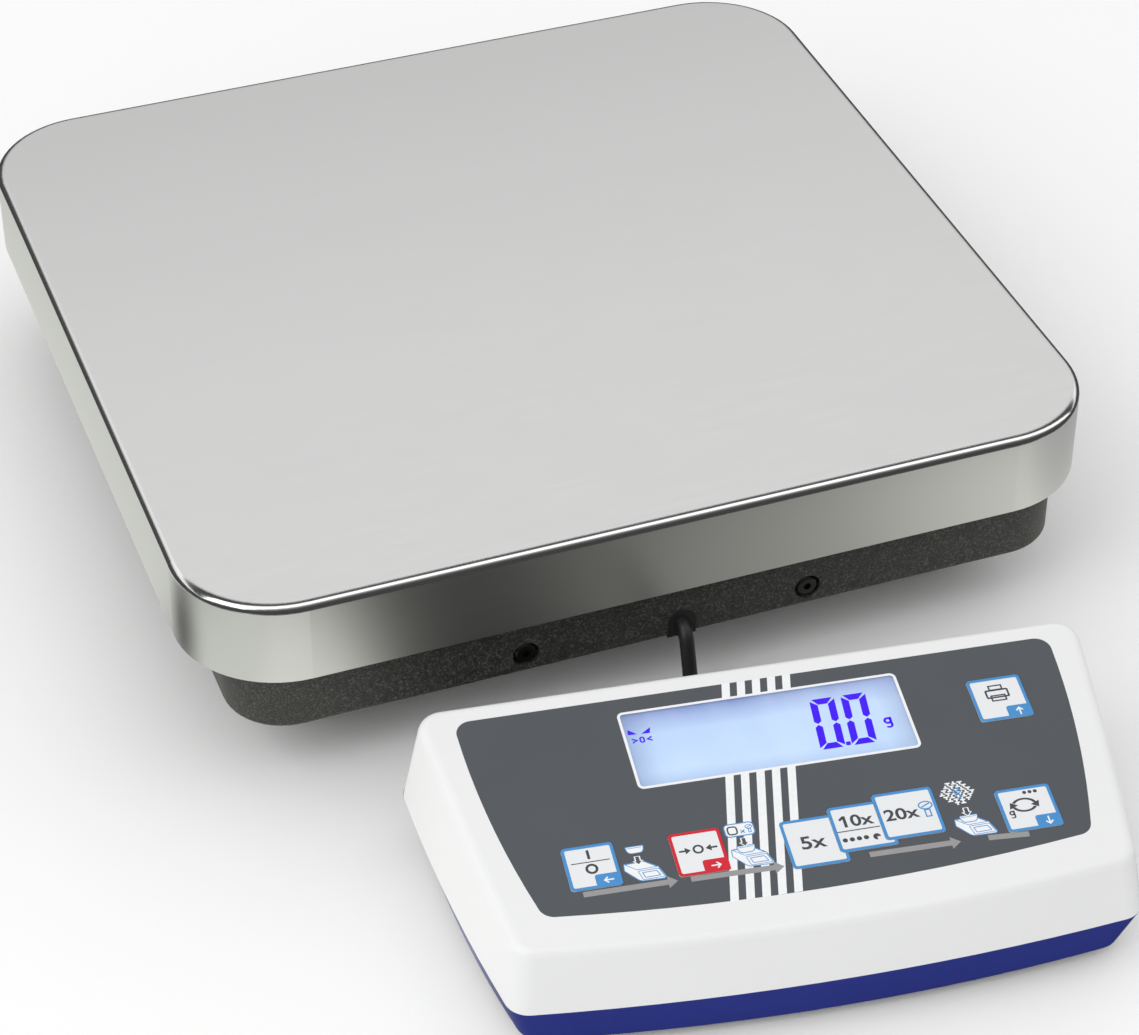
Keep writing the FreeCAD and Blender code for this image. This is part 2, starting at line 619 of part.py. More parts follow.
def bubble_level_vial():
    vial = rod(LEVEL_X, LEVEL_Y, (FLOOR + VIAL_BASE, FLOOR + LEVEL_HEIGHT + VIAL_PROUD), VIAL_RADIUS)
    return vial.makeFillet(VIAL_EDGE, edges_at_height(vial, FLOOR + LEVEL_HEIGHT + VIAL_PROUD))


# Cable
def cable_path():
    """The cable's middle line: over the housing floor, out at the front and into the display unit."""
    front = HOUSING_FRONT
    yaw = math.radians(DISPLAY_YAW)
    into_display = V3(math.sin(yaw), -math.cos(yaw), 0)
    end = display_point(0, SHELL_REAR_AT_PORT - CABLE_INSIDE_DISPLAY, CABLE_PORT_W)
    inside = [V3(-50, -CELL_WIDTH / 2 - CABLE_START_GAP, 46), V3(-49, -26, 44), V3(-42, -46, 36),
              V3(-30, -66, 30.5), V3(-15, -87, 28.2), V3(-1, -105, CABLE_EXIT_Z)]
    leaving = [V3(CABLE_EXIT_X, front + back, CABLE_EXIT_Z) for back in (30, 22, 14, 7, 1)]
    hanging = [V3(CABLE_EXIT_X - 0.2, front - 4, 25), V3(CABLE_EXIT_X - 0.7, front - 8.2, 18),
               V3(CABLE_EXIT_X - 1, front - 11.5, 11), V3(CABLE_EXIT_X - 1.2, front - 17, 5.8),
               V3(CABLE_EXIT_X - 0.7, front - 26, 3.6), V3(CABLE_EXIT_X + 1.2, front - 36, 7.5)]
    straight = [end - into_display * back for back in (24, 18, 12, 6, 0)]
    curve = Part.BSplineCurve()
    curve.interpolate(inside + leaving + hanging + straight)
    return curve.toShape()


def along_cable(radius):
    """A round solid that follows the cable's middle line."""
    path = cable_path()
    start = path.valueAt(path.FirstParameter)
    profile = Part.Wire(Part.makeCircle(radius, start, path.tangentAt(path.FirstParameter)))
    return Part.Wire(path).makePipeShell([profile], True, False)


def signal_cable():
    return along_cable(CABLE_RADIUS)


def cable_grommet():
    """A rubber lining for the arched opening, with a flange inside the wall."""
    lining = cable_notch(0, HOUSING_WALL + GROMMET_FLANGE)
    reach = CABLE_NOTCH_RADIUS + GROMMET_FLANGE_RIM
    inside = HOUSING_FRONT + HOUSING_WALL
    flange = box((CABLE_EXIT_X - reach, CABLE_EXIT_X + reach), (inside, inside + GROMMET_FLANGE),
                 (FLOOR, CABLE_EXIT_Z + reach))
    return fuse([lining, flange]).cut(along_cable(CABLE_RADIUS + GROMMET_GAP))


def cable_clip():
    y = (CLIP_Y - CLIP_WIDTH / 2, CLIP_Y + CLIP_WIDTH / 2)
    clip = box((CABLE_EXIT_X - CLIP_LEFT, CABLE_EXIT_X + CLIP_RIGHT), y, (FLOOR, FLOOR + CLIP_HEIGHT))
    side = CABLE_RADIUS + CLIP_CHANNEL_SIDE
    channel = box((CABLE_EXIT_X - side, CABLE_EXIT_X + side), (y[0] - PAST, y[1] + PAST),
                  (FLOOR, CABLE_EXIT_Z + CABLE_RADIUS + CLIP_CHANNEL_TOP))
    hole = rod(CABLE_EXIT_X + CLIP_SCREW_X, CLIP_Y, (0, THROUGH), SHELL_SCREW_PILOT)
    return cut(clip, [channel, hole])


def cable_clip_screw():
    x = CABLE_EXIT_X + CLIP_SCREW_X
    top = FLOOR + CLIP_HEIGHT
    return socket_screw(x, CLIP_Y, (top, top + CLIP_SCREW_HEAD_HEIGHT), (FLOOR, top), SHELL_SCREW_HEAD,
                        SHELL_SCREW_RADIUS, SHELL_SCREW_SOCKET)


# Display unit shells
def slope_height(v):
    return PANEL_HEIGHT + v * math.tan(math.radians(DISPLAY_TILT))


def outline(sizes, inset, height):
    """A closed outline with bowed front and side edges; height gives W at each V."""
    front_middle, front_corner, side_middle, rear_corner = sizes
    front_v = front_middle + inset
    corner = (front_corner[0] - inset, front_corner[1] + inset)
    side = (side_middle - inset, (front_corner[1] + rear_corner[1]) / 2)
    rear = (rear_corner[0] - inset, rear_corner[1] - inset)

    def point(u, v):
        return V3(u, v, height(v))

    front = Part.Arc(point(-corner[0], corner[1]), point(0, front_v), point(*corner)).toShape()
    right = Part.Arc(point(*corner), point(*side), point(*rear)).toShape()
    back = Part.makeLine(point(*rear), point(-rear[0], rear[1]))
    left = Part.Arc(point(-rear[0], rear[1]), point(-side[0], side[1]),
                    point(-corner[0], corner[1])).toShape()
    return Part.Wire([front, right, back, left])


def upright_edges(shape):
    """The four corner edges of a lofted block."""
    corners = []
    for edge in shape.Edges:
        run = edge.Vertexes[0].Point - edge.Vertexes[-1].Point
        if abs(run.z) > 8 and max(abs(run.x), abs(run.y)) < 20:
            corners.append(edge)
    return corners


def upper_block(inset, top_drop):
    """The white shell as a full block, or its hollow when inset."""
    base = outline(PARTING_OUTLINE, inset, lambda v: PARTING_HEIGHT)
    top = outline(RIDGE_OUTLINE, inset, lambda v: slope_height(v) - top_drop)
    block = Part.makeLoft([base, top], True, True)
    return block.makeFillet(SHELL_CORNER - inset, upright_edges(block))


def top_rim(block):
    """The edges around the sloping top face."""
    top = max(block.Faces, key=lambda face: face.CenterOfMass.z)
    return top.Edges


def lower_block(inset):
    """The blue shell as a full block, or its hollow when inset."""
    base = outline(BOTTOM_OUTLINE, inset, lambda v: SHELL_BOTTOM + inset)
    top = outline(PARTING_OUTLINE, inset, lambda v: PARTING_HEIGHT)
    block = Part.makeLoft([base, top], True, True)
    return block.makeFillet(SHELL_CORNER - inset, upright_edges(block))


def slope_rect(centre, size, n, radius):
    """A block with rounded corners in the sloping frame, brought into the display unit's frame."""
    return on_slope(round_block(centre, size, n, radius))


def slope_box(u, s, n):
    return on_slope(box(u, s, n))


def slope_rod(u, s, n, radius):
    return on_slope(rod(u, s, n, radius))


def grown(size, margin):
    """A (width, height) pair with a margin added on every side."""
    return (size[0] + 2 * margin, size[1] + 2 * margin)


def key_cards(margin, n):
    """All key cards as blocks, each a little larger by the margin."""
    return [slope_rect(centre, grown(size, margin), n, KEY_CORNER) for name, centre, size in KEYS]


def window_opening(n, margin=0.0):
    return slope_rect((WINDOW_U, WINDOW_S), grown((WINDOW_WIDTH, WINDOW_HEIGHT), margin), n,
                      WINDOW_CORNER)


def overlay_block(n):
    """The keypad overlay's outline as a block: straight rear edge, gently curved sides and front."""
    def point(u, s):
        return V3(u, s, n[0])

    rear = point(OVERLAY_REAR_HALF, OVERLAY_REAR_S)
    front = point(OVERLAY_FRONT_HALF, OVERLAY_FRONT_CORNER_S)
    rear_left = point(-OVERLAY_REAR_HALF, OVERLAY_REAR_S)
    front_left = point(-OVERLAY_FRONT_HALF, OVERLAY_FRONT_CORNER_S)
    right = Part.Arc(rear, point(OVERLAY_MIDDLE_HALF, OVERLAY_MIDDLE_S), front).toShape()
    bow = Part.Arc(front, point(0, OVERLAY_FRONT_S), front_left).toShape()
    left = Part.Arc(front_left, point(-OVERLAY_MIDDLE_HALF, OVERLAY_MIDDLE_S), rear_left).toShape()
    back = Part.makeLine(rear_left, rear)
    block = Part.Face(Part.Wire([right, bow, left, back])).extrude(V3(0, 0, n[1] - n[0]))
    upright = [edge for edge in block.Edges if abs(edge.tangentAt(edge.FirstParameter).z) > 0.99]
    return on_slope(block.makeFillet(OVERLAY_CORNER, upright))


def panel_overlay():
    overlay = overlay_block((-OVERLAY_THICKNESS, 0))
    return cut(overlay, key_cards(KEY_CLEARANCE, (-PAST, PAST)) + [window_opening((-PAST, PAST))])


def display_window():
    return window_opening((-OVERLAY_THICKNESS, 0))


def lcd_glass():
    return window_opening((LCD_TOP - LCD_THICKNESS, LCD_TOP), -LCD_INSET)


def inset_window(inset):
    half_width = WINDOW_WIDTH / 2 - inset
    half_height = WINDOW_HEIGHT / 2 - inset
    return ((WINDOW_U - half_width, WINDOW_U + half_width), (WINDOW_S - half_height, WINDOW_S + half_height))


def lcd_backlight():
    top = LCD_TOP - LCD_THICKNESS
    return slope_box(*inset_window(BACKLIGHT_INSET), (top - BACKLIGHT_THICKNESS, top))


def lcd_frame():
    outer = slope_box(*inset_window(-LCD_FRAME_RIM), (LCD_FRAME_BOTTOM, -SHELL_WALL))
    return outer.cut(slope_box(*inset_window(LCD_FRAME_INSET), (LCD_FRAME_BOTTOM - PAST, 0)))


def main_screw_places():
    return [(side * MAIN_SCREW_U, s) for side in (-1, 1) for s in MAIN_SCREW_S]


def port_openings(margin):
    """Holes through the rear wall for the two sockets."""
    v = (DATA_PORT_FLANGE_V[1], THROUGH)
    data = rear_block((DATA_PORT_U, PORT_W), grown((DATA_PORT_WIDTH, DATA_PORT_HEIGHT), margin), v,
                      DATA_PORT_CORNER)
    power = rod(DC_SOCKET_U, PORT_W, v, DC_BARREL_RADIUS + margin, REARWARD)
    return [data, power]


def rear_block(centre, size, v, radius):
    """A block with rounded corners that runs rearward through the rear wall; centre is (u, w)."""
    block = round_block((0, 0), size, v, radius)
    block.rotate(V3(0, 0, 0), V3(1, 0, 0), -90)
    block.translate(V3(centre[0], 0, centre[1]))
    return block


def display_top_shell():
    outer = upper_block(0, 0)
    solid = outer.makeFillet(SHELL_TOP_EDGE, top_rim(outer))
    hollow = upper_block(SHELL_WALL, SHELL_WALL)
    shell = solid.cut(hollow)
    below_skin = solid.cut(slope_box((-THROUGH, THROUGH), (-THROUGH, THROUGH), (STANDOFF_TOP, THROUGH)))
    bosses = [rod(u, v, (PARTING_HEIGHT, THROUGH), SHELL_BOSS).common(below_skin) for u, v in SHELL_SCREWS]
    bosses += [slope_rod(u, s, (MAIN_BOARD_TOP, STANDOFF_TOP), STANDOFF_RADIUS)
               for u, s in main_screw_places()]
    bosses += [slope_rod(u, s, (KEYPAD_BOARD_TOP, STANDOFF_TOP), STANDOFF_RADIUS)
               for u, s in KEYPAD_SCREWS]
    shell = fuse([shell] + bosses)
    tools = [overlay_block((-OVERLAY_THICKNESS, SHELL_TOP_EDGE + PAST)), window_opening((-THROUGH, THROUGH))]
    tools += key_cards(KEY_CLEARANCE, (KEY_POCKET_BOTTOM, PAST))
    tools += [slope_rod(*centre, (-SHELL_WALL - PAST, PAST), PLUNGER_HOLE) for name, centre, size in KEYS]
    tools += [slope_rod(u, s, (MAIN_BOARD_TOP - PAST, MAIN_SCREW_TIP), BOARD_SCREW_PILOT)
              for u, s in main_screw_places()]
    tools += [slope_rod(u, s, (KEYPAD_BOARD_TOP - PAST, KEYPAD_SCREW_TIP), BOARD_SCREW_PILOT)
              for u, s in KEYPAD_SCREWS]
    tools += [rod(u, v, (0, SHELL_SCREW_TOP + PAST), SHELL_SCREW_PILOT) for u, v in SHELL_SCREWS]
    return cut(shell, tools + port_openings(PORT_CLEARANCE))


def battery_bay(margin, w, inset):
    size = (DOOR_LENGTH - 2 * inset + 2 * margin, DOOR_WIDTH - 2 * inset + 2 * margin)
    return round_block((BATTERY_U, BATTERY_V), size, w, DOOR_CORNER)


def display_bottom_shell():
    outer = lower_block(0)
    solid = outer.makeFillet(SHELL_BOTTOM_EDGE, edges_at_height(outer, SHELL_BOTTOM))
    shell = solid.cut(lower_block(SHELL_WALL))
    inner_floor = SHELL_BOTTOM + SHELL_WALL
    bosses = [rod(u, v, (SHELL_BOTTOM, PARTING_HEIGHT), SHELL_BOSS).common(solid) for u, v in SHELL_SCREWS]
    fence = battery_bay(BAY_WALL, (inner_floor - SHELL_WALL / 5, BAY_TOP), DOOR_LIP)
    shell = fuse([shell, fence] + bosses)
    tools = [battery_bay(DOOR_CLEARANCE, (SHELL_BOTTOM - PAST, SHELL_BOTTOM + DOOR_PLATE), 0),
             battery_bay(DOOR_CLEARANCE, (SHELL_BOTTOM, BAY_TOP + PAST), DOOR_LIP)]
    for u, v in SHELL_SCREWS:
        tools.append(rod(u, v, (0, SHELL_SCREW_SEAT), SHELL_SCREW_HEAD + HEAD_CLEARANCE))
        tools.append(rod(u, v, (0, THROUGH), SHELL_SCREW_HOLE))
    tools.append(rod(0, CABLE_PORT_W, (0, THROUGH), RING_RADIUS, REARWARD))
    return cut(shell, tools)


def display_grommet():
    """A rubber ring in the rear wall, its ends just proud of both faces."""
    v = (SHELL_REAR_AT_PORT - SHELL_WALL - RING_PROUD[0], SHELL_REAR_AT_PORT + RING_PROUD[1])
    ring = rod(0, CABLE_PORT_W, v, RING_RADIUS, REARWARD)
    return ring.cut(rod(0, CABLE_PORT_W, (0, THROUGH), RING_BORE, REARWARD))


def shell_screws():
    screws = []
    for u, v in SHELL_SCREWS:
        head = (SHELL_SCREW_SEAT - SHELL_SCREW_HEAD_HEIGHT, SHELL_SCREW_SEAT)
        screws.append(socket_screw(u, v, head, (SHELL_SCREW_SEAT, SHELL_SCREW_TOP), SHELL_SCREW_HEAD,
                                   SHELL_SCREW_RADIUS, SHELL_SCREW_SOCKET))
    return Part.makeCompound(screws)


def display_feet():
    feet = []
    for u, v in DISPLAY_FEET:
        foot = rod(u, v, (0, SHELL_BOTTOM), DISPLAY_FOOT_RADIUS)
        feet.append(foot.makeFillet(DISPLAY_FOOT_EDGE, edges_at_height(foot, 0)))
    return Part.makeCompound(feet)


def keypad_board():
    board = box((-KEYPAD_BOARD_HALF, KEYPAD_BOARD_HALF), KEYPAD_BOARD_S,
                (KEYPAD_BOARD_TOP - KEYPAD_BOARD_THICKNESS, KEYPAD_BOARD_TOP))
    holes = [rod(u, s, (-THROUGH, THROUGH), BOARD_SCREW_HOLE) for u, s in KEYPAD_SCREWS]
    return on_slope(cut(board, holes))


def snap_domes():
    """Thin metal snap domes, one under each key of the keypad board."""
    domes = []
    sphere = (DOME_RADIUS ** 2 + DOME_HEIGHT ** 2) / (2 * DOME_HEIGHT)
    for name, (u, s), size in KEYS:
        if name == "print":
            continue
        centre = V3(u, s, KEYPAD_BOARD_TOP + DOME_HEIGHT - sphere)
        cap = Part.makeSphere(sphere, centre).common(rod(u, s, (KEYPAD_BOARD_TOP, 0), DOME_RADIUS))
        domes.append(cap.cut(Part.makeSphere(sphere - DOME_THICKNESS, centre)))
    return on_slope(Part.makeCompound(domes))


def main_board():
    board = box((-MAIN_BOARD_HALF, MAIN_BOARD_HALF), MAIN_BOARD_S, (MAIN_BOARD_BOTTOM, MAIN_BOARD_TOP))
    holes = [rod(u, s, (-THROUGH, THROUGH), BOARD_SCREW_HOLE) for u, s in main_screw_places()]
    return on_slope(cut(board, holes))


def board_chips():
    """Chips and a capacitor under the main board, and the small switch under the print key."""
    under = MAIN_BOARD_BOTTOM
    chips = [box(u, s, (under - height, under)) for u, s, height in CHIPS]
    chips.append(rod(*CAPACITOR, (under - CAPACITOR_HEIGHT, under), CAPACITOR_RADIUS))
    u, s = next(centre for name, centre, size in KEYS if name == "print")
    half = SWITCH_SIDE / 2
    top = MAIN_BOARD_TOP + SWITCH_HEIGHT
    chips.append(fuse([box((u - half, u + half), (s - half, s + half), (MAIN_BOARD_TOP, top)),
                       rod(u, s, (top, SWITCH_STEM_TOP), SWITCH_STEM_RADIUS)]))
    return on_slope(Part.makeCompound(chips))


def keypad_ribbon():
    """The flat cable between the keypad board and the main board, drawn as a bent strip."""
    high = KEYPAD_BOARD_TOP - KEYPAD_BOARD_THICKNESS
    low = MAIN_BOARD_BOTTOM
    start = KEYPAD_BOARD_S[1] - RIBBON_OVERLAP
    bend = KEYPAD_BOARD_S[1] + RIBBON_REACH
    edge = MAIN_BOARD_S[0] - RIBBON_REACH
    end = MAIN_BOARD_S[0] + RIBBON_OVERLAP
    thick = RIBBON_THICKNESS
    corners = [(start, high), (bend, high), (edge, low), (end, low), (end, low - thick),
               (edge - thick, low - thick), (bend - thick, high - thick), (start, high - thick)]
    points = [V3(RIBBON_U[0], s, n) for s, n in corners + corners[:1]]
    return on_slope(Part.Face(Part.makePolygon(points)).extrude(V3(RIBBON_U[1] - RIBBON_U[0], 0, 0)))


def board_screws():
    screws = []
    keypad_bottom = KEYPAD_BOARD_TOP - KEYPAD_BOARD_THICKNESS
    for places, bottom, tip in ((main_screw_places(), MAIN_BOARD_BOTTOM, MAIN_SCREW_TIP),
                                (KEYPAD_SCREWS, keypad_bottom, KEYPAD_SCREW_TIP)):
        for u, s in places:
            screws.append(fuse([rod(u, s, (bottom - BOARD_SCREW_HEAD_HEIGHT, bottom), BOARD_SCREW_HEAD),
                                rod(u, s, (bottom, tip), BOARD_SCREW_RADIUS)]))
    return on_slope(Part.makeCompound(screws))


def buzzer():
    n = (MAIN_BOARD_BOTTOM - BUZZER_HEIGHT, MAIN_BOARD_BOTTOM)
    can = rod(BUZZER_U, BUZZER_S, n, BUZZER_RADIUS)
    return on_slope(can.cut(rod(BUZZER_U, BUZZER_S, (n[0] - PAST, n[0] + PAST), BUZZER_HOLE)))


def battery():
    w = (BATTERY_BOTTOM, BATTERY_BOTTOM + BATTERY_HEIGHT)
    middle_u = BATTERY_U + BATTERY_SHIFT
    body = round_block((middle_u, BATTERY_V), (BATTERY_LENGTH, BATTERY_WIDTH), w, BATTERY_EDGE)
    end = middle_u - BATTERY_LENGTH / 2
    middle = (w[0] + w[1]) / 2
    terminals = [Part.makeCylinder(BATTERY_TERMINAL_RADIUS, BATTERY_TERMINAL_LENGTH,
                                   V3(end - BATTERY_TERMINAL_LENGTH, BATTERY_V + offset, middle), V3(1, 0, 0))
                 for offset in (-BATTERY_TERMINAL_OFFSET, BATTERY_TERMINAL_OFFSET)]
    return fuse([body] + terminals)


def battery_cover():
    plate = battery_bay(0, (SHELL_BOTTOM, SHELL_BOTTOM + DOOR_PLATE), 0)
    plug = battery_bay(0, (SHELL_BOTTOM, SHELL_BOTTOM + SHELL_WALL), DOOR_LIP)
    grips = []
    for k in range(DOOR_GRIPS):
        start = BATTERY_U + DOOR_GRIP_START + k * DOOR_GRIP_PITCH
        grips.append(box((start, start + DOOR_GRIP_WIDTH),
                         (BATTERY_V - DOOR_GRIP_LENGTH / 2, BATTERY_V + DOOR_GRIP_LENGTH / 2),
                         (SHELL_BOTTOM - PAST, SHELL_BOTTOM + DOOR_GRIP_DEPTH)))
    return cut(fuse([plate, plug]), grips)


def data_port_shell():
    centre = (DATA_PORT_U, PORT_W)
    tube = rear_block(centre, (DATA_PORT_WIDTH, DATA_PORT_HEIGHT), DATA_PORT_V, DATA_PORT_CORNER)
    flange = rear_block(centre, (DATA_PORT_FLANGE_WIDTH, DATA_PORT_FLANGE_HEIGHT), DATA_PORT_FLANGE_V,
                        DATA_PORT_FLANGE_CORNER)
    inside = grown((DATA_PORT_WIDTH, DATA_PORT_HEIGHT), -DATA_PORT_SHEET)
    bore = rear_block(centre, inside, (0, THROUGH), DATA_PORT_CORNER - DATA_PORT_SHEET)
    return fuse([tube, flange]).cut(bore)


def data_port_insert():
    """The socket's nine-way insulating block."""
    size = grown((DATA_PORT_WIDTH, DATA_PORT_HEIGHT), -DATA_PORT_SHEET)
    block = rear_block((DATA_PORT_U, PORT_W), size, (DATA_PORT_V[0], DATA_PORT_INSERT_V),
                       DATA_PORT_CORNER - DATA_PORT_SHEET)
    holes = []
    for count, w in ((5, PORT_W + PIN_ROW), (4, PORT_W - PIN_ROW)):
        for k in range(count):
            u = DATA_PORT_U + (k - (count - 1) / 2) * PIN_PITCH
            holes.append(rod(u, w, (DATA_PORT_INSERT_V - PIN_HOLE_DEPTH, THROUGH), PIN_HOLE, REARWARD))
    return cut(block, holes)


def dc_socket():
    start, shoulder, end = DC_SOCKET_V
    body = box((DC_SOCKET_U - DC_BODY_WIDTH / 2, DC_SOCKET_U + DC_BODY_WIDTH / 2), (start, shoulder),
               (PORT_W - DC_BODY_HEIGHT / 2, PORT_W + DC_BODY_HEIGHT / 2))
    barrel = rod(DC_SOCKET_U, PORT_W, (shoulder, end), DC_BARREL_RADIUS, REARWARD)
    return fuse([body, barrel]).cut(rod(DC_SOCKET_U, PORT_W, (start + DC_BACK, THROUGH), DC_BORE, REARWARD))


def dc_socket_pin():
    start, shoulder, end = DC_SOCKET_V
    return rod(DC_SOCKET_U, PORT_W, (start + DC_BACK, end - DC_PIN_INSET), DC_PIN, REARWARD)


def key_cap(index):
    """One key: a thin card with a plunger under it, cut away where later cards lie over it."""
    name, centre, size = KEYS[index]
    card = slope_rect(centre, size, (KEY_BODY_BOTTOM, KEY_PROUD), KEY_CORNER)
    bottom = PRINT_PLUNGER_BOTTOM if name == "print" else PLUNGER_BOTTOM
    key = fuse([card, slope_rod(*centre, (bottom, KEY_BODY_BOTTOM), PLUNGER_RADIUS)])
    above = [slope_rect(other_centre, grown(other_size, KEY_CLEARANCE), (-PAST, PAST), KEY_CORNER)
             for other, other_centre, other_size in KEYS[index + 1:]
             if name in CARD_KEYS and other in CARD_KEYS]
    return cut(key, above)


def pieces():
    """Every piece by name; True marks those drawn in the display unit's frame."""
    made = {
        "base_housing": (base_housing(), False),
        "load_cell": (load_cell(), False),
        "load_cell_spacer": (cell_spacer(-1, CELL_BOTTOM - SPACER_HEIGHT), False),
        "load_cell_base_screws": (load_cell_base_screws(), False),
        "overload_stop_screws": (overload_stop_screws(), False),
        "overload_lock_nuts": (overload_lock_nuts(), False),
        "foot_bushes": (foot_bushes(), False),
        "front_screws": (front_screws(), False),
        "front_screw_inserts": (front_screw_inserts(), False),
        "bubble_level_body": (bubble_level_body(), False),
        "bubble_level_vial": (bubble_level_vial(), False),
        "cable_grommet": (cable_grommet(), False),
        "cable_clip": (cable_clip(), False),
        "cable_clip_screw": (cable_clip_screw(), False),
        "signal_cable": (signal_cable(), False),
        "carrier_frame": (carrier_frame(), False),
        "carrier_spacer": (cell_spacer(1, CARRIER_BOTTOM - SPACER_HEIGHT), False),
        "carrier_screws": (carrier_screws(), False),
        "pan_buffers": (pan_buffers(), False),
        "weighing_pan": (weighing_pan(), False),
        "display_top_shell": (display_top_shell(), True),
        "display_bottom_shell": (display_bottom_shell(), True),
        "panel_overlay": (panel_overlay(), True),
        "display_window": (display_window(), True),
        "lcd_glass": (lcd_glass(), True),
        "lcd_backlight": (lcd_backlight(), True),
        "lcd_frame": (lcd_frame(), True),
        "keypad_board": (keypad_board(), True),
        "snap_domes": (snap_domes(), True),
        "main_board": (main_board(), True),
        "board_chips": (board_chips(), True),
        "keypad_ribbon": (keypad_ribbon(), True),
        "board_screws": (board_screws(), True),
        "shell_screws": (shell_screws(), True),
        "display_feet": (display_feet(), True),
        "dc_socket": (dc_socket(), True),
        "dc_socket_pin": (dc_socket_pin(), True),
        "data_port_shell": (data_port_shell(), True),
        "data_port_insert": (data_port_insert(), True),
        "display_grommet": (display_grommet(), True),
        "battery": (battery(), True),
        "battery_cover": (battery_cover(), True),
        "buzzer": (buzzer(), True),
    }
    for corner, (side_x, side_y) in FOOT_CORNERS.items():
        made["foot_pad_" + corner] = (foot_pad(side_x * FOOT_X, side_y * FOOT_Y), False)
        made["foot_wheel_" + corner] = (foot_wheel(side_x * FOOT_X, side_y * FOOT_Y), False)
    for index, (name, centre, size) in enumerate(KEYS):
        made["key_" + name] = (key_cap(index), True)
    return made


def main():
    os.makedirs("parts", exist_ok=True)
    for name, (shape, belongs_to_display) in pieces().items():
        placed = in_display(shape) if belongs_to_display else shape.copy()
        placed.translate(V3(0, -ORIGIN_Y, 0))
        if not placed.isValid():
            print("invalid shape:", name)
        placed.exportStep("parts/" + name + ".step")


main()
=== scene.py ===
"""Counting scale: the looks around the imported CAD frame.

Metres, Z up, in the frame of the CAD. The printed panel is drawn in its own frame: U to the right,
S up the slope and N out of the face, in millimetres, with its origin at the middle of the display unit.
"""

import json
import math

import bmesh
import bpy
from mathutils import Matrix, Vector

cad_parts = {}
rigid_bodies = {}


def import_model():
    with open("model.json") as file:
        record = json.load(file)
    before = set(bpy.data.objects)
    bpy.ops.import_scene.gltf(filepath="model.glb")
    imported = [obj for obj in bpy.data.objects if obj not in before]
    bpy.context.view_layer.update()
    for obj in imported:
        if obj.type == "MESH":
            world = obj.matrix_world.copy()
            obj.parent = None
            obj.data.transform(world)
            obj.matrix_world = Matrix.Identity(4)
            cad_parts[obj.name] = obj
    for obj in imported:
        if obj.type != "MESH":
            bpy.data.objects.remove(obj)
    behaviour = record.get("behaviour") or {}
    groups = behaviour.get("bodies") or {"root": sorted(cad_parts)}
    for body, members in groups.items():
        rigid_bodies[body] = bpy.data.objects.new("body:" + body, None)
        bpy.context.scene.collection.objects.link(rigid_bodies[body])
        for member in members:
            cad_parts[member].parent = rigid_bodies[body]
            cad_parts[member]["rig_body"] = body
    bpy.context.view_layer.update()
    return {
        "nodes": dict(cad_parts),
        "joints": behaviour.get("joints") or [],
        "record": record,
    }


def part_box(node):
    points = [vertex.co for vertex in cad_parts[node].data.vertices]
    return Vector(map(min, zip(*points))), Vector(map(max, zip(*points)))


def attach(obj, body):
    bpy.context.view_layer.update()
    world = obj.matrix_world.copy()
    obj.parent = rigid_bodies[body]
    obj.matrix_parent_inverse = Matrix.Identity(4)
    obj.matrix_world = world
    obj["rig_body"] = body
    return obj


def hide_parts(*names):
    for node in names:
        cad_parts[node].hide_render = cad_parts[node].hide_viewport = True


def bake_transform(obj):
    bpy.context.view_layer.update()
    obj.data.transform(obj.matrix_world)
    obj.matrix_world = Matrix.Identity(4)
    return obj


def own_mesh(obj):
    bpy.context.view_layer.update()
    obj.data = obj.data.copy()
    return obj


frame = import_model()

MM = 0.001
NODES = frame["nodes"]
JOINTS = {joint["name"]: joint for joint in frame["joints"]}

# Camera
CAMERA_AZIMUTH = -20.354  # degrees; the camera stands in front and to the left
CAMERA_ELEVATION = 38.273
CAMERA_DISTANCE = 1.10379
CAMERA_TARGET = (-0.03167, -0.14120)  # from the middle of the pan, on the level of its top
CAMERA_LENS = 108.43
CAMERA_SENSOR = 36.0

# Printed panel
WINDOW_CENTRE = (-1.0, 18.5)
WINDOW_MIDDLE_N = -0.2  # middle of the window's thickness
PRINT_THICKNESS = 0.03  # how far a print stands out of its surface
PRINT_ROOT = 0.05  # how far it reaches down into it
KEY_TOP = 0.15  # how far a key stands out of the panel

# Colours, linear
INK = (0.062, 0.068, 0.078)
PANEL_GREY = (0.085, 0.094, 0.105)
KEY_BLUE = (0.062, 0.285, 0.630)
KEY_RED = (0.680, 0.012, 0.030)
PRINT_WHITE = (0.90, 0.91, 0.92)
PRINT_GREY = (0.325, 0.322, 0.322)


# Frames
def panel_frame():
    """The matrix that takes panel millimetres to row metres, and the panel's three directions."""
    outward = -Vector(JOINTS["press_power"]["axis"]).normalized()
    forward = Vector(JOINTS["display_slide"]["axis"])
    right = Vector((-forward.y, forward.x, 0)).normalized()
    up_slope = outward.cross(right)
    low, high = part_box("display_window")
    offset = right * WINDOW_CENTRE[0] + up_slope * WINDOW_CENTRE[1] + outward * WINDOW_MIDDLE_N
    origin = (low + high) / 2 - offset * MM
    matrix = Matrix((right, up_slope, outward)).transposed().to_4x4() @ Matrix.Scale(MM, 4)
    matrix.translation = origin
    return matrix, right, up_slope


PANEL, PANEL_RIGHT, PANEL_UP = panel_frame()


def panel_extent(mesh):
    """(lowest u, lowest s), (highest u, highest s) of a mesh on the panel."""
    inverse = PANEL.inverted()
    us, ss, _ = zip(*(inverse @ vertex.co for vertex in mesh.vertices))
    return (min(us), min(ss)), (max(us), max(ss))


def node_extent(name):
    return panel_extent(NODES[name].data)


def in_scene(name, data):
    """A new object in the scene that shows the given mesh, curve, camera or light."""
    obj = bpy.data.objects.new(name, data)
    bpy.context.scene.collection.objects.link(obj)
    return obj


# Node helpers
USUAL_NOISE = (0.3, 0.7)  # most of a noise's values lie between these two


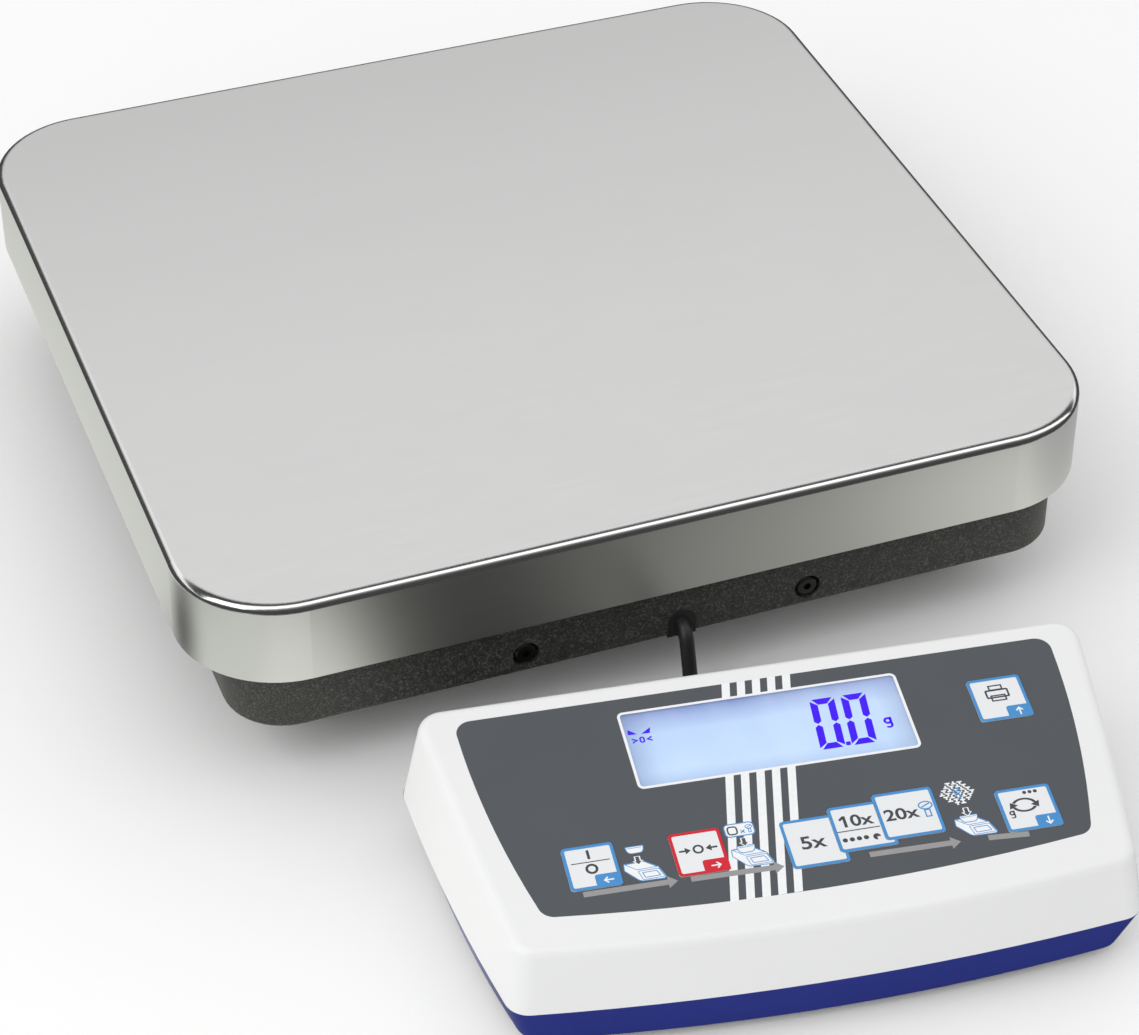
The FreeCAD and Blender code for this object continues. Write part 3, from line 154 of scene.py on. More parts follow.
class Shader:
    """The node tree of a new material, or of a world, with short calls for adding and joining nodes."""

    def __init__(self, name, world=None):
        self.material = world or bpy.data.materials.new(name)
        self.material.use_nodes = True
        self.tree = self.material.node_tree
        self.tree.nodes.clear()
        self.output = self.tree.nodes.new("ShaderNodeOutputWorld" if world else "ShaderNodeOutputMaterial")

    def feed(self, source, target):
        """Sets an input to a number or a colour, or joins it to another node's output."""
        if isinstance(source, (int, float)):
            target.default_value = source
        elif isinstance(source, tuple):
            target.default_value = (*source, 1)
        else:
            self.join(source, target)

    def math(self, operation, *values):
        node = self.add("ShaderNodeMath", operation=operation)
        for source, target in zip(values, node.inputs):
            self.feed(source, target)
        return node.outputs[0]

    def add(self, kind, **settings):
        node = self.tree.nodes.new(kind)
        for key, value in settings.items():
            setattr(node, key, value)
        return node

    def join(self, source, target):
        self.tree.links.new(source, target)

    def principled(self, **values):
        node = self.add("ShaderNodeBsdfPrincipled")
        for key, value in values.items():
            self.feed(value, node.inputs[key.replace("_", " ")])
        self.join(node.outputs[0], self.output.inputs["Surface"])
        return node

    def position(self):
        return self.add("ShaderNodeTexCoord").outputs["Object"]

    def along(self, direction, origin=(0, 0, 0)):
        """How far a point lies along a direction from an origin, in metres."""
        away = self.add("ShaderNodeVectorMath", operation="SUBTRACT")
        self.join(self.position(), away.inputs[0])
        away.inputs[1].default_value = origin
        dot = self.add("ShaderNodeVectorMath", operation="DOT_PRODUCT")
        self.join(away.outputs[0], dot.inputs[0])
        dot.inputs[1].default_value = direction
        return dot.outputs["Value"]

    def noise(self, scale, detail=2.0, stretch=(1, 1, 1), roughness=0.5):
        mapping = self.add("ShaderNodeMapping")
        mapping.inputs["Scale"].default_value = stretch
        self.join(self.position(), mapping.inputs["Vector"])
        noise = self.add("ShaderNodeTexNoise")
        self.join(mapping.outputs[0], noise.inputs["Vector"])
        noise.inputs["Scale"].default_value = scale
        noise.inputs["Detail"].default_value = detail
        noise.inputs["Roughness"].default_value = roughness
        return noise.outputs["Fac"]

    def cells(self, scale):
        voronoi = self.add("ShaderNodeTexVoronoi")
        voronoi.inputs["Scale"].default_value = scale
        self.join(self.position(), voronoi.inputs["Vector"])
        return voronoi.outputs["Distance"]

    def ramp(self, source, *stops):
        """Maps a value to colours; each stop is (position, colour)."""
        node = self.add("ShaderNodeValToRGB")
        elements = node.color_ramp.elements
        while len(elements) < len(stops):
            elements.new(0.5)
        for element, (place, colour) in zip(elements, stops):
            element.position = place
            element.color = (*colour, 1)
        self.join(source, node.inputs[0])
        return node.outputs[0]

    def span(self, source, low, high, new_low=0.0, new_high=1.0):
        node = self.add("ShaderNodeMapRange")
        self.join(source, node.inputs["Value"])
        for key, value in {"From Min": low, "From Max": high, "To Min": new_low, "To Max": new_high}.items():
            node.inputs[key].default_value = value
        return node.outputs["Result"]

    def blend(self, factor, first, second):
        node = self.add("ShaderNodeMix", data_type="RGBA")
        for source, place in ((factor, 0), (first, 6), (second, 7)):
            self.feed(source, node.inputs[place])
        return node.outputs[2]

    def mix(self, factor, first, second):
        """Makes a mixture of two surfaces or backgrounds the output."""
        node = self.add("ShaderNodeMixShader")
        for source, target in zip((factor, first.outputs[0], second.outputs[0]), node.inputs):
            self.join(source, target)
        self.join(node.outputs[0], self.output.inputs["Surface"])

    def bump(self, height, strength, distance, target):
        node = self.add("ShaderNodeBump")
        node.inputs["Strength"].default_value = strength
        node.inputs["Distance"].default_value = distance
        self.join(height, node.inputs["Height"])
        self.join(node.outputs[0], target.inputs["Normal"])


def times(colour, factor):
    return tuple(min(1.0, c * factor) for c in colour)


def mottled(shader, colour, scale, amount):
    """A colour that drifts a little lighter and darker over the surface."""
    dark = times(colour, 1 - amount)
    light = times(colour, 1 + amount)
    return shader.ramp(shader.noise(scale, 3), *zip(USUAL_NOISE, (dark, light)))


# Materials
def grained(shader, surface, scale, detail, roughness, strength, depth):
    """A fine grain: it varies the roughness between two values and stands out a little."""
    grains = shader.noise(scale, detail)
    shader.join(shader.span(grains, *USUAL_NOISE, *roughness), surface.inputs["Roughness"])
    shader.bump(grains, strength, depth, surface)


def steel(name, colour, roughness, brush, rim_gloss=1.0):
    """Metal with fine brush lines, stretched along an axis; rim_gloss makes rounded edges smoother."""
    shader = Shader(name)
    lines = shader.noise(900, 4, brush, 0.6)
    clouds = shader.noise(14, 3)
    tone = shader.ramp(lines, *zip(USUAL_NOISE, (times(colour, 0.985), colour)))
    tone = shader.blend(shader.span(clouds, *USUAL_NOISE, 0.0, 0.25), tone, times(colour, 0.98))
    surface = shader.principled(Metallic=1.0, Base_Color=tone)
    normal = shader.add("ShaderNodeSeparateXYZ")
    shader.join(shader.add("ShaderNodeTexCoord").outputs["Normal"], normal.inputs[0])
    above_side = shader.span(normal.outputs["Z"], 0.02, 0.15)
    below_top = shader.span(normal.outputs["Z"], 0.99, 0.94)
    rim = shader.math("MULTIPLY", above_side, below_top)
    rim_factor = shader.span(rim, 0.0, 1.0, 1.0, rim_gloss)
    rough = shader.span(lines, *USUAL_NOISE, roughness * 0.95, roughness * 1.05)
    shader.join(shader.math("MULTIPLY", rough, rim_factor), surface.inputs["Roughness"])
    shader.bump(lines, 0.05, 0.00001, surface)
    return shader.material


def mottled_surface(name, colour, scale, amount, **values):
    """A new shader and its surface, in a colour that drifts a little."""
    shader = Shader(name)
    return shader, shader.principled(Base_Color=mottled(shader, colour, scale, amount), **values)


def moulded(name, colour, roughness, mottle=0.02, grain=2600, depth=0.000012, bounce=None):
    """Injection-moulded plastic with a very fine grain; bounce is the colour that it throws on the floor."""
    shader = Shader(name)
    tone = mottled(shader, colour, 22, mottle)
    if bounce:
        tone = shader.blend(shader.add("ShaderNodeLightPath").outputs["Is Diffuse Ray"], tone, bounce)
    surface = shader.principled(Specular_IOR_Level=0.45, Base_Color=tone)
    grained(shader, surface, grain, 2, (roughness * 0.9, roughness * 1.1), 0.35, depth)
    return shader.material


def speckled_paint():
    """Dark structured paint with fine light and dark grains."""
    shader = Shader("housing_paint")
    base = mottled(shader, (0.030, 0.031, 0.027), 60, 0.08)
    grains = shader.noise(1500, 2, (1, 1, 1), 0.62)
    speckle = shader.ramp(grains, (0.52, (0, 0, 0)), (0.70, (1, 1, 1)))
    tone = shader.blend(speckle, base, (0.110, 0.114, 0.105))
    pits = shader.ramp(shader.noise(1500, 1), (0.30, (1, 1, 1)), (0.42, (0, 0, 0)))
    tone = shader.blend(pits, tone, (0.012, 0.012, 0.011))
    roughness = shader.span(grains, *USUAL_NOISE, 0.42, 0.62)
    surface = shader.principled(Specular_IOR_Level=0.5, Base_Color=tone, Roughness=roughness)
    shader.bump(grains, 0.55, 0.00018, surface)
    return shader.material


def rubber(name, colour, roughness):
    shader, surface = mottled_surface(name, colour, 90, 0.12, Specular_IOR_Level=0.35)
    grained(shader, surface, 1800, 2, (roughness * 0.85, roughness * 1.1), 0.4, 0.00003)
    return shader.material


def overlay_film():
    """The keypad's matt polyester film."""
    shader, surface = mottled_surface("overlay_grey", PANEL_GREY, 30, 0.02, Specular_IOR_Level=0.4)
    grained(shader, surface, 3800, 1, (0.48, 0.60), 0.25, 0.000012)
    return shader.material


def clear_film():
    """Thin clear film: light passes straight through, with a soft reflection on its outside."""
    shader = Shader("window_clear")
    through = shader.add("ShaderNodeBsdfTransparent")
    tint = shader.ramp(shader.noise(40, 2), *zip(USUAL_NOISE, ((0.95, 0.965, 0.98), (0.98, 0.985, 0.99))))
    shader.join(tint, through.inputs[0])
    gloss = shader.add("ShaderNodeBsdfGlossy")
    gloss.inputs["Roughness"].default_value = 0.12
    shader.bump(shader.noise(2600, 1), 0.1, 0.000006, gloss)
    fresnel = shader.add("ShaderNodeFresnel")
    fresnel.inputs["IOR"].default_value = 1.25
    outside = shader.math("SUBTRACT", 1.0, shader.add("ShaderNodeNewGeometry").outputs["Backfacing"])
    shader.mix(shader.math("MULTIPLY", fresnel.outputs[0], outside), through, gloss)
    return shader.material


LCD_HALF_HEIGHT = 0.0158
LCD_END_SHADE = (0.036, 0.0485)  # where the ends' shade starts and is fullest, from the middle


def lcd_face():
    """The lit display: pale blue in the middle, violet-grey at its top edge and at both ends."""
    shader = Shader("lcd")
    centre = PANEL @ Vector((*WINDOW_CENTRE, 0))
    along_u = shader.along(PANEL_RIGHT, centre)
    along_s = shader.along(PANEL_UP, centre)
    tall = shader.span(along_s, -LCD_HALF_HEIGHT, LCD_HALF_HEIGHT)
    tone = shader.ramp(tall, (0.0, (0.360, 0.460, 0.640)), (0.20, (0.460, 0.575, 0.750)),
                       (0.68, (0.440, 0.550, 0.730)), (0.86, (0.320, 0.395, 0.610)),
                       (1.0, (0.170, 0.215, 0.410)))
    edge = shader.span(shader.math("ABSOLUTE", along_u), *LCD_END_SHADE, 0.0, 0.8)
    tone = shader.blend(edge, tone, (0.185, 0.235, 0.400))
    bands = shader.noise(1.0, 2, (70, 8, 8))
    tone = shader.blend(shader.span(bands, 0.4, 0.7, 0.0, 0.22), tone, (0.56, 0.67, 0.82))
    shader.principled(Roughness=0.3, Specular_IOR_Level=0.3, Emission_Strength=0.50, Base_Color=tone,
                      Emission_Color=tone)
    return shader.material


def printed(name, colour, roughness=0.5, glow=0.0):
    """Screen-printed ink: nearly flat, with the faint unevenness of the mesh it went through."""
    shader = Shader(name)
    tone = mottled(shader, colour, 700, 0.025)
    surface = shader.principled(Specular_IOR_Level=0.35, Emission_Strength=glow, Base_Color=tone,
                                Emission_Color=tone)
    grained(shader, surface, 3200, 1, (roughness * 0.9, roughness * 1.1), 0.15, 0.000006)
    return shader.material


def circuit_board():
    shader = Shader("board_green")
    cells = shader.cells(420)
    tracks = shader.ramp(cells, (0.44, (0.012, 0.105, 0.045)), (0.50, (0.030, 0.190, 0.080)))
    shader.bump(cells, 0.3, 0.00003, shader.principled(Roughness=0.35, Base_Color=tracks))
    return shader.material


def vial_liquid():
    shader, _ = mottled_surface("vial_glass", (0.45, 0.75, 0.12), 120, 0.06, Roughness=0.05,
                                Transmission_Weight=0.6)
    return shader.material


def cast_metal():
    shader, surface = mottled_surface("cast_carrier", (0.46, 0.47, 0.48), 160, 0.08, Metallic=1.0,
                                      Roughness=0.5)
    shader.bump(shader.noise(700, 3), 0.5, 0.0002, surface)
    return shader.material


def make_materials():
    """One material for each of the record's finishes, and the printing inks."""
    across = (1, 1, 0.02)
    even = (1, 1, 1)
    kinds = (
        (steel, {
            "pan_steel": ((0.78, 0.785, 0.775), 0.30, (0.05, 1, 1), 0.5),
            "zinc_steel": ((0.62, 0.62, 0.60), 0.35, across),
            "cell_aluminium": ((0.78, 0.79, 0.80), 0.32, (0.03, 1, 1)),
            "dome_steel": ((0.75, 0.75, 0.74), 0.2, even),
            "brass": ((0.72, 0.50, 0.20), 0.3, across),
            "black_steel": ((0.060, 0.060, 0.058), 0.33, even)}),
        (rubber, {
            "black_rubber": ((0.018, 0.018, 0.018), 0.6),
            "cable_jacket": ((0.016, 0.017, 0.018), 0.40)}),
        (moulded, {
            "black_plastic": ((0.022, 0.022, 0.024), 0.45),
            "battery_case": ((0.035, 0.040, 0.055), 0.35),
            "shell_white": ((0.86, 0.865, 0.86), 0.40, 0.008),
            "shell_blue": ((0.018, 0.032, 0.270), 0.36, 0.04, 2600, 0.000012, (0.55, 0.55, 0.57)),
            "backlight_white": ((0.80, 0.84, 0.88), 0.5),
            "ribbon_film": ((0.35, 0.15, 0.03), 0.3),
            "key_white": ((0.83, 0.845, 0.86), 0.45, 0.008, 3600, 0.000008)}),
        (printed, {
            "ink": (INK,),
            "print_blue": (KEY_BLUE,),
            "print_red": (KEY_RED,),
            "print_white": (PRINT_WHITE,),
            "print_grey": (PRINT_GREY,),
            "print_panel": (PANEL_GREY,),
            "lcd_segment": ((0.045, 0.0, 0.74), 0.4, 0.42)}),
    )
    made = {name: kind(name, *values) for kind, group in kinds for name, values in group.items()}
    for single in (cast_metal, speckled_paint, overlay_film, clear_film, lcd_face, circuit_board,
                   vial_liquid):
        material = single()
        made[material.name.split(".")[0]] = material
    return made


MATERIALS = make_materials()


def dress_cad_nodes():
    """Gives every CAD node the finish that the record names."""
    for part in frame["record"]["subparts"]:
        data = NODES[part["node"]].data
        data.materials.clear()
        data.materials.append(MATERIALS[part["material_slot"]])


dress_cad_nodes()


# Printing: flat shapes in panel millimetres
ROUND_STEPS = 6  # of a rounded rectangle's corners
SOFT_STEPS = 3  # of a softened shape's corners


def rounded(centre, size, radius):
    """A rectangle with round corners, as points."""
    half_u = size[0] / 2 - radius
    half_s = size[1] / 2 - radius
    points = []
    for corner, (su, ss) in enumerate(((1, 1), (-1, 1), (-1, -1), (1, -1))):
        for step in range(ROUND_STEPS + 1):
            angle = math.radians(90 * (corner + step / ROUND_STEPS))
            points.append((centre[0] + su * half_u + radius * math.cos(angle),
                           centre[1] + ss * half_s + radius * math.sin(angle)))
    return points


def ring(centre, size, radius, width):
    """A rounded rectangular frame: its outside and its inside."""
    inner = (size[0] - 2 * width, size[1] - 2 * width)
    return [rounded(centre, size, radius), rounded(centre, inner, max(radius / 2, radius - width))]


def arc(centre, radius, start, end, steps=24, squeeze=1.0):
    """Points along a circle, or a squeezed circle, between two angles in degrees."""
    points = []
    for step in range(steps + 1):
        angle = math.radians(start + (end - start) * step / steps)
        points.append((centre[0] + radius * math.cos(angle), centre[1] + radius * squeeze * math.sin(angle)))
    return points


def disc(centre, radius, squeeze=1.0):
    return arc(centre, radius, 0, 360, squeeze=squeeze)[:-1]


def band(centre, radius, width, start, end, squeeze=1.0):
    """A curved stroke: an arc with a width."""
    outside = arc(centre, radius + width / 2, start, end, squeeze=squeeze)
    inside = arc(centre, radius - width / 2, end, start, squeeze=squeeze)
    return outside + inside


def stroke(start, end, width):
    """A straight stroke between two points."""
    length = math.dist(start, end)
    half = width / 2
    return laid_along(((0, half), (0, -half), (length, -half), (length, half)), start, end)


def box_shape(low, high):
    return [low, (high[0], low[1]), high, (low[0], high[1])]


def softened(shape, cut):
    """A shape with its corners rounded; the rounding starts at the given distance from each corner."""
    points = []
    for k, corner in enumerate(shape):
        corner = Vector(corner)
        before = Vector(shape[k - 1]) - corner
        after = Vector(shape[(k + 1) % len(shape)]) - corner
        start = corner + before.normalized() * min(cut, before.length * 0.45)
        end = corner + after.normalized() * min(cut, after.length * 0.45)
        for step in range(SOFT_STEPS + 1):
            t = step / SOFT_STEPS
            points.append(tuple(start * (1 - t) ** 2 + corner * 2 * t * (1 - t) + end * t ** 2))
    return points


def laid_along(profile, tail, tip):
    """A profile drawn along X, moved so that it runs from tail towards tip."""
    along = Vector((tip[0] - tail[0], tip[1] - tail[1])).normalized()
    return [(tail[0] + along.x * x - along.y * y, tail[1] + along.y * x + along.x * y) for x, y in profile]


def arrow(tail, tip, width, head_width, head_length):
    """A straight block arrow between two points."""
    length = math.dist(tail, tip)
    neck = length - head_length
    profile = ((0, width / 2), (neck, width / 2), (neck, head_width / 2), (length, 0),
               (neck, -head_width / 2), (neck, -width / 2), (0, -width / 2))
    return laid_along(profile, tail, tip)


def line_arrow(tail, tip, width, reach):
    """A thin arrow with an open head; its two strokes lean back at 45 degrees."""
    length = math.dist(tail, tip)
    slant = width * math.sqrt(0.5)
    meet = length - width / 2 - 2 * slant
    upper = ((0, width / 2), (meet, width / 2),
             (length - reach - slant, reach - slant), (length - reach, reach))
    lower = tuple((x, -y) for x, y in reversed(upper))
    return laid_along(upper + ((length, 0),) + lower, tail, tip)


def flat_piece(name, shapes, surface_n, colour, level=1.0):
    """A thin printed layer of closed shapes, its level thicknesses high; an inner shape makes a hole."""
    curve = bpy.data.curves.new(name, "CURVE")
    curve.dimensions = "2D"
    curve.fill_mode = "BOTH"
    for shape in shapes:
        spline = curve.splines.new("POLY")
        spline.points.add(len(shape) - 1)
        for point, (u, s) in zip(spline.points, shape):
            point.co = (u, s, 0, 1)
        spline.use_cyclic_u = True
    return mesh_from_curve(name, curve, surface_n, colour, level)


def mesh_from_curve(name, curve, surface_n, colour, level):
    """Turns a flat filled curve into a closed mesh that stands a little out of the panel."""
    top = surface_n + PRINT_THICKNESS * level
    bottom = surface_n - PRINT_ROOT
    curve.extrude = (top - bottom) / 2
    shell = in_scene(name + "_outline", curve)
    bpy.context.view_layer.update()
    mesh = bpy.data.meshes.new_from_object(shell.evaluated_get(bpy.context.evaluated_depsgraph_get()))
    bpy.data.objects.remove(shell)
    bpy.data.curves.remove(curve)
    mesh.name = name
    work = bmesh.new()
    work.from_mesh(mesh)
    bmesh.ops.remove_doubles(work, verts=work.verts, dist=0.0005)
    bmesh.ops.recalc_face_normals(work, faces=work.faces)
    work.to_mesh(mesh)
    work.free()
    mesh.transform(PANEL @ Matrix.Translation((0, 0, (top + bottom) / 2)))
    mesh.materials.clear()
    mesh.materials.append(MATERIALS[colour])
    return in_scene(name, mesh)


FONT_HEIGHT = 0.73  # of a figure, as a share of the font's size
FONT_BOLD = 0.12


def words(name, text, low, high):
    """Figures on a key, drawn with the built-in font and stretched to fill a box."""
    curve = bpy.data.curves.new(name, "FONT")
    curve.body = text
    curve.size = (high[1] - low[1]) / FONT_HEIGHT
    curve.offset = FONT_BOLD
    piece = mesh_from_curve(name, curve, KEY_TOP, "ink", 1.0)
    (left, foot), (right, head) = panel_extent(piece.data)
    stretch = Matrix.Diagonal(((high[0] - low[0]) / (right - left), (high[1] - low[1]) / (head - foot), 1, 1))
    place = Matrix.Translation((*low, 0)) @ stretch @ Matrix.Translation((-left, -foot, 0))
    piece.data.transform(PANEL @ place @ PANEL.inverted())
    return piece


def unit_g(low, high, weight):
    """The unit's letter: a bowl, a stem and a hook under it, as three shapes in a box."""
    width = high[0] - low[0]
    bowl = ((low[0] + high[0]) / 2, high[1] - width / 2)
    radius = (width - weight) / 2
    hook = (bowl[0], low[1] + width * 0.42)
    return [disc(bowl, radius + weight / 2), disc(bowl, radius - weight / 2)], \
        [box_shape((high[0] - weight, hook[1]), high)], [band(hook, radius, weight, 215, 360, 0.8)]


def carried(piece, body):
    """The piece moves with a body."""
    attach(piece, body)


def panel_print(name, shapes, colour, level=1.0):
    carried(flat_piece(name, shapes, 0, colour, level), "display")


def panel_prints(name, groups, colour, level=1.0):
    """Prints several groups of shapes, each as a piece of its own."""
    for index, shapes in enumerate(groups):
        panel_print(f"{name}_{index}", shapes, colour, level)


# Panel print
STRIPE_COUNT = 5
STRIPE_WIDTH = 2.6
STRIPE_PITCH = 4.9
STRIPE_BASE = 38  # the height where the middle stripe is in the middle
STRIPE_END_BASE = 50  # where the front ends' places are counted from, by the first stripe
STRIPE_LEAN = 0.22  # how far it moves to the left for each millimetre down the slope
STRIPE_END = 0.15  # from the overlay's front edge
OVERLAY_BOW = 5.3  # how far that edge bows forward in the middle


def stripe(index, low, high):
    """One slanting stripe between two heights on the slope."""
    def middle(s):
        return (index - (STRIPE_COUNT - 1) / 2) * STRIPE_PITCH + STRIPE_LEAN * (s - STRIPE_BASE)

    half = STRIPE_WIDTH / 2
    return [(middle(low) - half, low), (middle(low) + half, low),
            (middle(high) + half, high), (middle(high) - half, high)]


def panel_stripes():
    (_, front), (right, rear) = node_extent("panel_overlay")
    window_low, window_high = node_extent("display_window")
    shapes = []
    for index in range(STRIPE_COUNT):
        shapes.append(stripe(index, window_high[1], rear))
        across = index * STRIPE_PITCH + STRIPE_LEAN * (front - STRIPE_END_BASE)
        shapes.append(stripe(index, front + STRIPE_END + OVERLAY_BOW * (across / right) ** 2, window_low[1]))
    panel_print("panel_stripes", shapes, "print_white", 0.4)


WINDOW_LINE = (2.0, 0.9)  # corner radius and width of the line round the window


def window_outline():
    size = [high - low for low, high in zip(*node_extent("display_window"))]
    panel_print("window_outline", ring(WINDOW_CENTRE, size, *WINDOW_LINE), "print_white", 0.6)


FLOW_WIDTH = 2.0
FLOW_HEAD = (4.6, 3.0)


def flow_bars():
    """Grey bars under the keys that lead from one step to the next."""
    shapes = []
    for tail, tip in (((-71.4, -33.7), (-42.6, -33.9)), ((-38.7, -34.1), (-10.1, -34.7)),
                      ((16.2, -35.4), (44.6, -35.8))):
        shapes.append(arrow(tail, tip, FLOW_WIDTH, *FLOW_HEAD))
    shapes.append(stroke((53.2, -36.0), (65.8, -36.9), FLOW_WIDTH))
    panel_print("flow_bars", shapes, "print_grey", 0.7)


def pictured_screw(place, size, width):
    """A pictured screw in outline: head, slot and shank, each a closed shape with its hole."""
    u, s = place
    head = [disc(place, size * 0.5, 0.72), disc(place, size * 0.5 - width, 0.66)]
    slot = [stroke((u - size * 0.3, s - size * 0.14), (u + size * 0.3, s + size * 0.14), width)]
    shank = outline_of(box_shape((u - size * 0.2, s - size), (u + size * 0.24, s - size * 0.34)), width)
    return head, slot, shank


BOWL = ((-3.0, 1.4), (3.0, 1.4), (2.6, -0.7), (1.7, -1.5), (-1.7, -1.5), (-2.6, -0.7))
PICTURE_BODY = ((-5.8, 3.0), (0.4, 3.4), (4.5, 0.4), (6.1, -3.8), (5.4, -4.5), (-1.5, -4.3),
                (-2.5, -3.8), (-6.1, 0.4))
PICTURE_TRAY = ((-5.6, 2.8), (0.4, 3.2), (4.3, 0.3), (-2.2, 0.1))
PICTURE_FRONT = ((-2.1, -0.3), (4.4, -0.2), (5.7, -3.8), (-1.2, -3.9))
PICTURE_SCREEN = ((-1.0, -1.0), (3.6, -0.9), (4.6, -3.1), (-0.4, -3.2))
PICTURE_LINE = 0.28
PICTURE_FINE_LINE = 0.22
PICTURE_ARROW = (3.5, 1.9, 3.3, 1.8)  # length, width, and the head's width and length
PICTURE_ARROW_INSET = 0.2
PICTURE_ARROW_INK = (2.9, 1.1, 2.1, 1.2)
BOWL_MIDDLE = -1.1  # of the bowl and its arrow, from the pictured scale's middle


def moved(shape, place):
    return [(place[0] + u, place[1] + s) for u, s in shape]


def down_arrow(tail, length, width, head_width, head_length):
    return arrow(tail, (tail[0], tail[1] - length), width, head_width, head_length)


def pictured_scale(name, place, bowl_height, arrow_top):
    """A small pictured scale, with a bowl over or on it and an arrow that points down."""
    u = place[0] + BOWL_MIDDLE
    bowl_s = place[1] + bowl_height
    arrow_s = place[1] + arrow_top
    body = softened(moved(PICTURE_BODY, place), 0.3)
    bowl = softened(moved(BOWL, (u, bowl_s)), 0.6)
    down = down_arrow((u, arrow_s), *PICTURE_ARROW)
    inside = down_arrow((u, arrow_s - PICTURE_ARROW_INSET), *PICTURE_ARROW_INK)
    lines = [outline_of(body, PICTURE_LINE)]
    for shape, width in ((PICTURE_TRAY, PICTURE_FINE_LINE), (PICTURE_FRONT, PICTURE_FINE_LINE),
                         (PICTURE_SCREEN, PICTURE_LINE)):
        lines.append(outline_of(softened(moved(shape, place), 0.35), width))
    rim = stroke((u - 2.3, bowl_s + 0.7), (u + 2.3, bowl_s + 0.7), 0.2)
    panel_print(name + "_white", [body], "print_white")
    panel_prints(name + "_line", lines, "print_blue", 1.3)
    panel_print(name + "_bowl", [bowl], "print_white", 1.6)
    panel_print(name + "_bowl_edge", outline_of(bowl, PICTURE_LINE), "print_blue", 1.9)
    panel_print(name + "_bowl_rim", [rim], "print_blue", 1.9)
    panel_print(name + "_arrow", [down], "print_white", 2.2)
    panel_print(name + "_arrow_ink", [inside], "print_panel", 2.5)


SHARPEST_CORNER = 0.35  # keeps the inner line's points near their corners


def outline_of(shape, width):
    """A shape's outline as a ring: the shape itself and a copy drawn in by the width."""
    count = len(shape)
    inner = []
    area = sum(shape[k - 1][0] * shape[k][1] - shape[k][0] * shape[k - 1][1] for k in range(count))
    sign = 1 if area > 0 else -1
    for k in range(count):
        before = (Vector(shape[k]) - Vector(shape[k - 1])).normalized()
        after = (Vector(shape[(k + 1) % count]) - Vector(shape[k])).normalized()
        normal = (Vector((-before.y, before.x)) + Vector((-after.y, after.x))) * sign
        cosine = max(SHARPEST_CORNER, normal.length / 2)
        normal.normalize()
        inner.append(tuple(Vector(shape[k]) + normal * width / cosine))
    return [shape, inner]


def panel_pictures():
    pictured_scale("picture_start", (-51.5, -27.8), 7.9, 5.3)
    pictured_scale("picture_count", (-18.5, -28.6), 2.6, 6.9)
    pictured_scale("picture_load", (50.8, -30.2), 2.6, 6.9)


def step_card():
    """The small card beside the second key: nought times one screw."""
    u, s = -19.9, -18.4
    size = (9.5, 5.2)
    panel_prints("step_card", [[rounded((u, s), size, 1.5)]], "print_white")
    panel_prints("step_card_edge", [ring((u, s), size, 1.5, 0.4)], "print_blue", 1.3)
    panel_prints("step_card_nought", [ring((u - 2.2, s - 0.1), (3.3, 3.4), 1.1, 0.5)], "ink", 1.3)
    cross = [[stroke((u + 0.2, s - 1.5), (u + 1.5, s - 0.3), 0.35)],
             [stroke((u + 0.2, s - 0.3), (u + 1.5, s - 1.5), 0.35)]]
    panel_prints("step_card_times", cross, "print_blue", 1.3)
    panel_prints("step_card_screw", pictured_screw((u + 3.0, s + 0.7), 2.3, 0.25), "print_blue", 1.3)


SCREW_PILE_ROWS = (3, 4, 5, 6, 5, 4, 2)
SCREW_PILE_PITCH = (1.9, 1.3)
SCREW_PILE_MIDDLE = (49.0, -17.2)
PILE_SCREW = ((-0.8, 0.5), (0.8, 0.5), (0.8, 0.0), (0.3, 0.0), (0.3, -0.75), (-0.3, -0.75), (-0.3, 0.0),
              (-0.8, 0.0))


def screw_pile():
    """A heap of small white screws over the last pictured scale, with one blue screw in its middle."""
    shapes = []
    for row, count in enumerate(SCREW_PILE_ROWS):
        for place in range(count):
            u = SCREW_PILE_MIDDLE[0] + (place - (count - 1) / 2) * SCREW_PILE_PITCH[0]
            s = SCREW_PILE_MIDDLE[1] - (row - (len(SCREW_PILE_ROWS) - 1) / 2) * SCREW_PILE_PITCH[1]
            flip = -1 if (row + place) % 2 else 1
            shapes.append(moved([(x, y * flip) for x, y in PILE_SCREW], (u, s)))
    panel_prints("screw_pile", [shapes], "print_white")
    u, s = SCREW_PILE_MIDDLE
    panel_prints("screw_pile_middle", pictured_screw((u, s + 0.8), 3.0, 0.35), "print_blue", 1.3)


panel_stripes()
window_outline()
flow_bars()
panel_pictures()
step_card()
screw_pile()

# Display figures
DIGIT_LEFT = (12.9, 23.0)  # lower left corners, along U
DIGIT_BOTTOM = 7.9
DIGIT_SIZE = (8.0, 20.6)
DIGIT_LEAN = 0.085
SEGMENT_WIDTH = 2.35
SEGMENT_GAP = 0.20
SEGMENT_CORNER = 0.5
POINT_SIZE = 1.5
UNIT_BOX = ((35.2, 12.6), (37.9, 17.0))
UNIT_WEIGHT = 0.8
LCD_N = -0.5  # the glass's face, under the panel


def leaning(shape, origin):
    """A shape in a digit's own upright frame, placed and leaned to the right."""
    return [(origin[0] + u + DIGIT_LEAN * s, origin[1] + s) for u, s in shape]


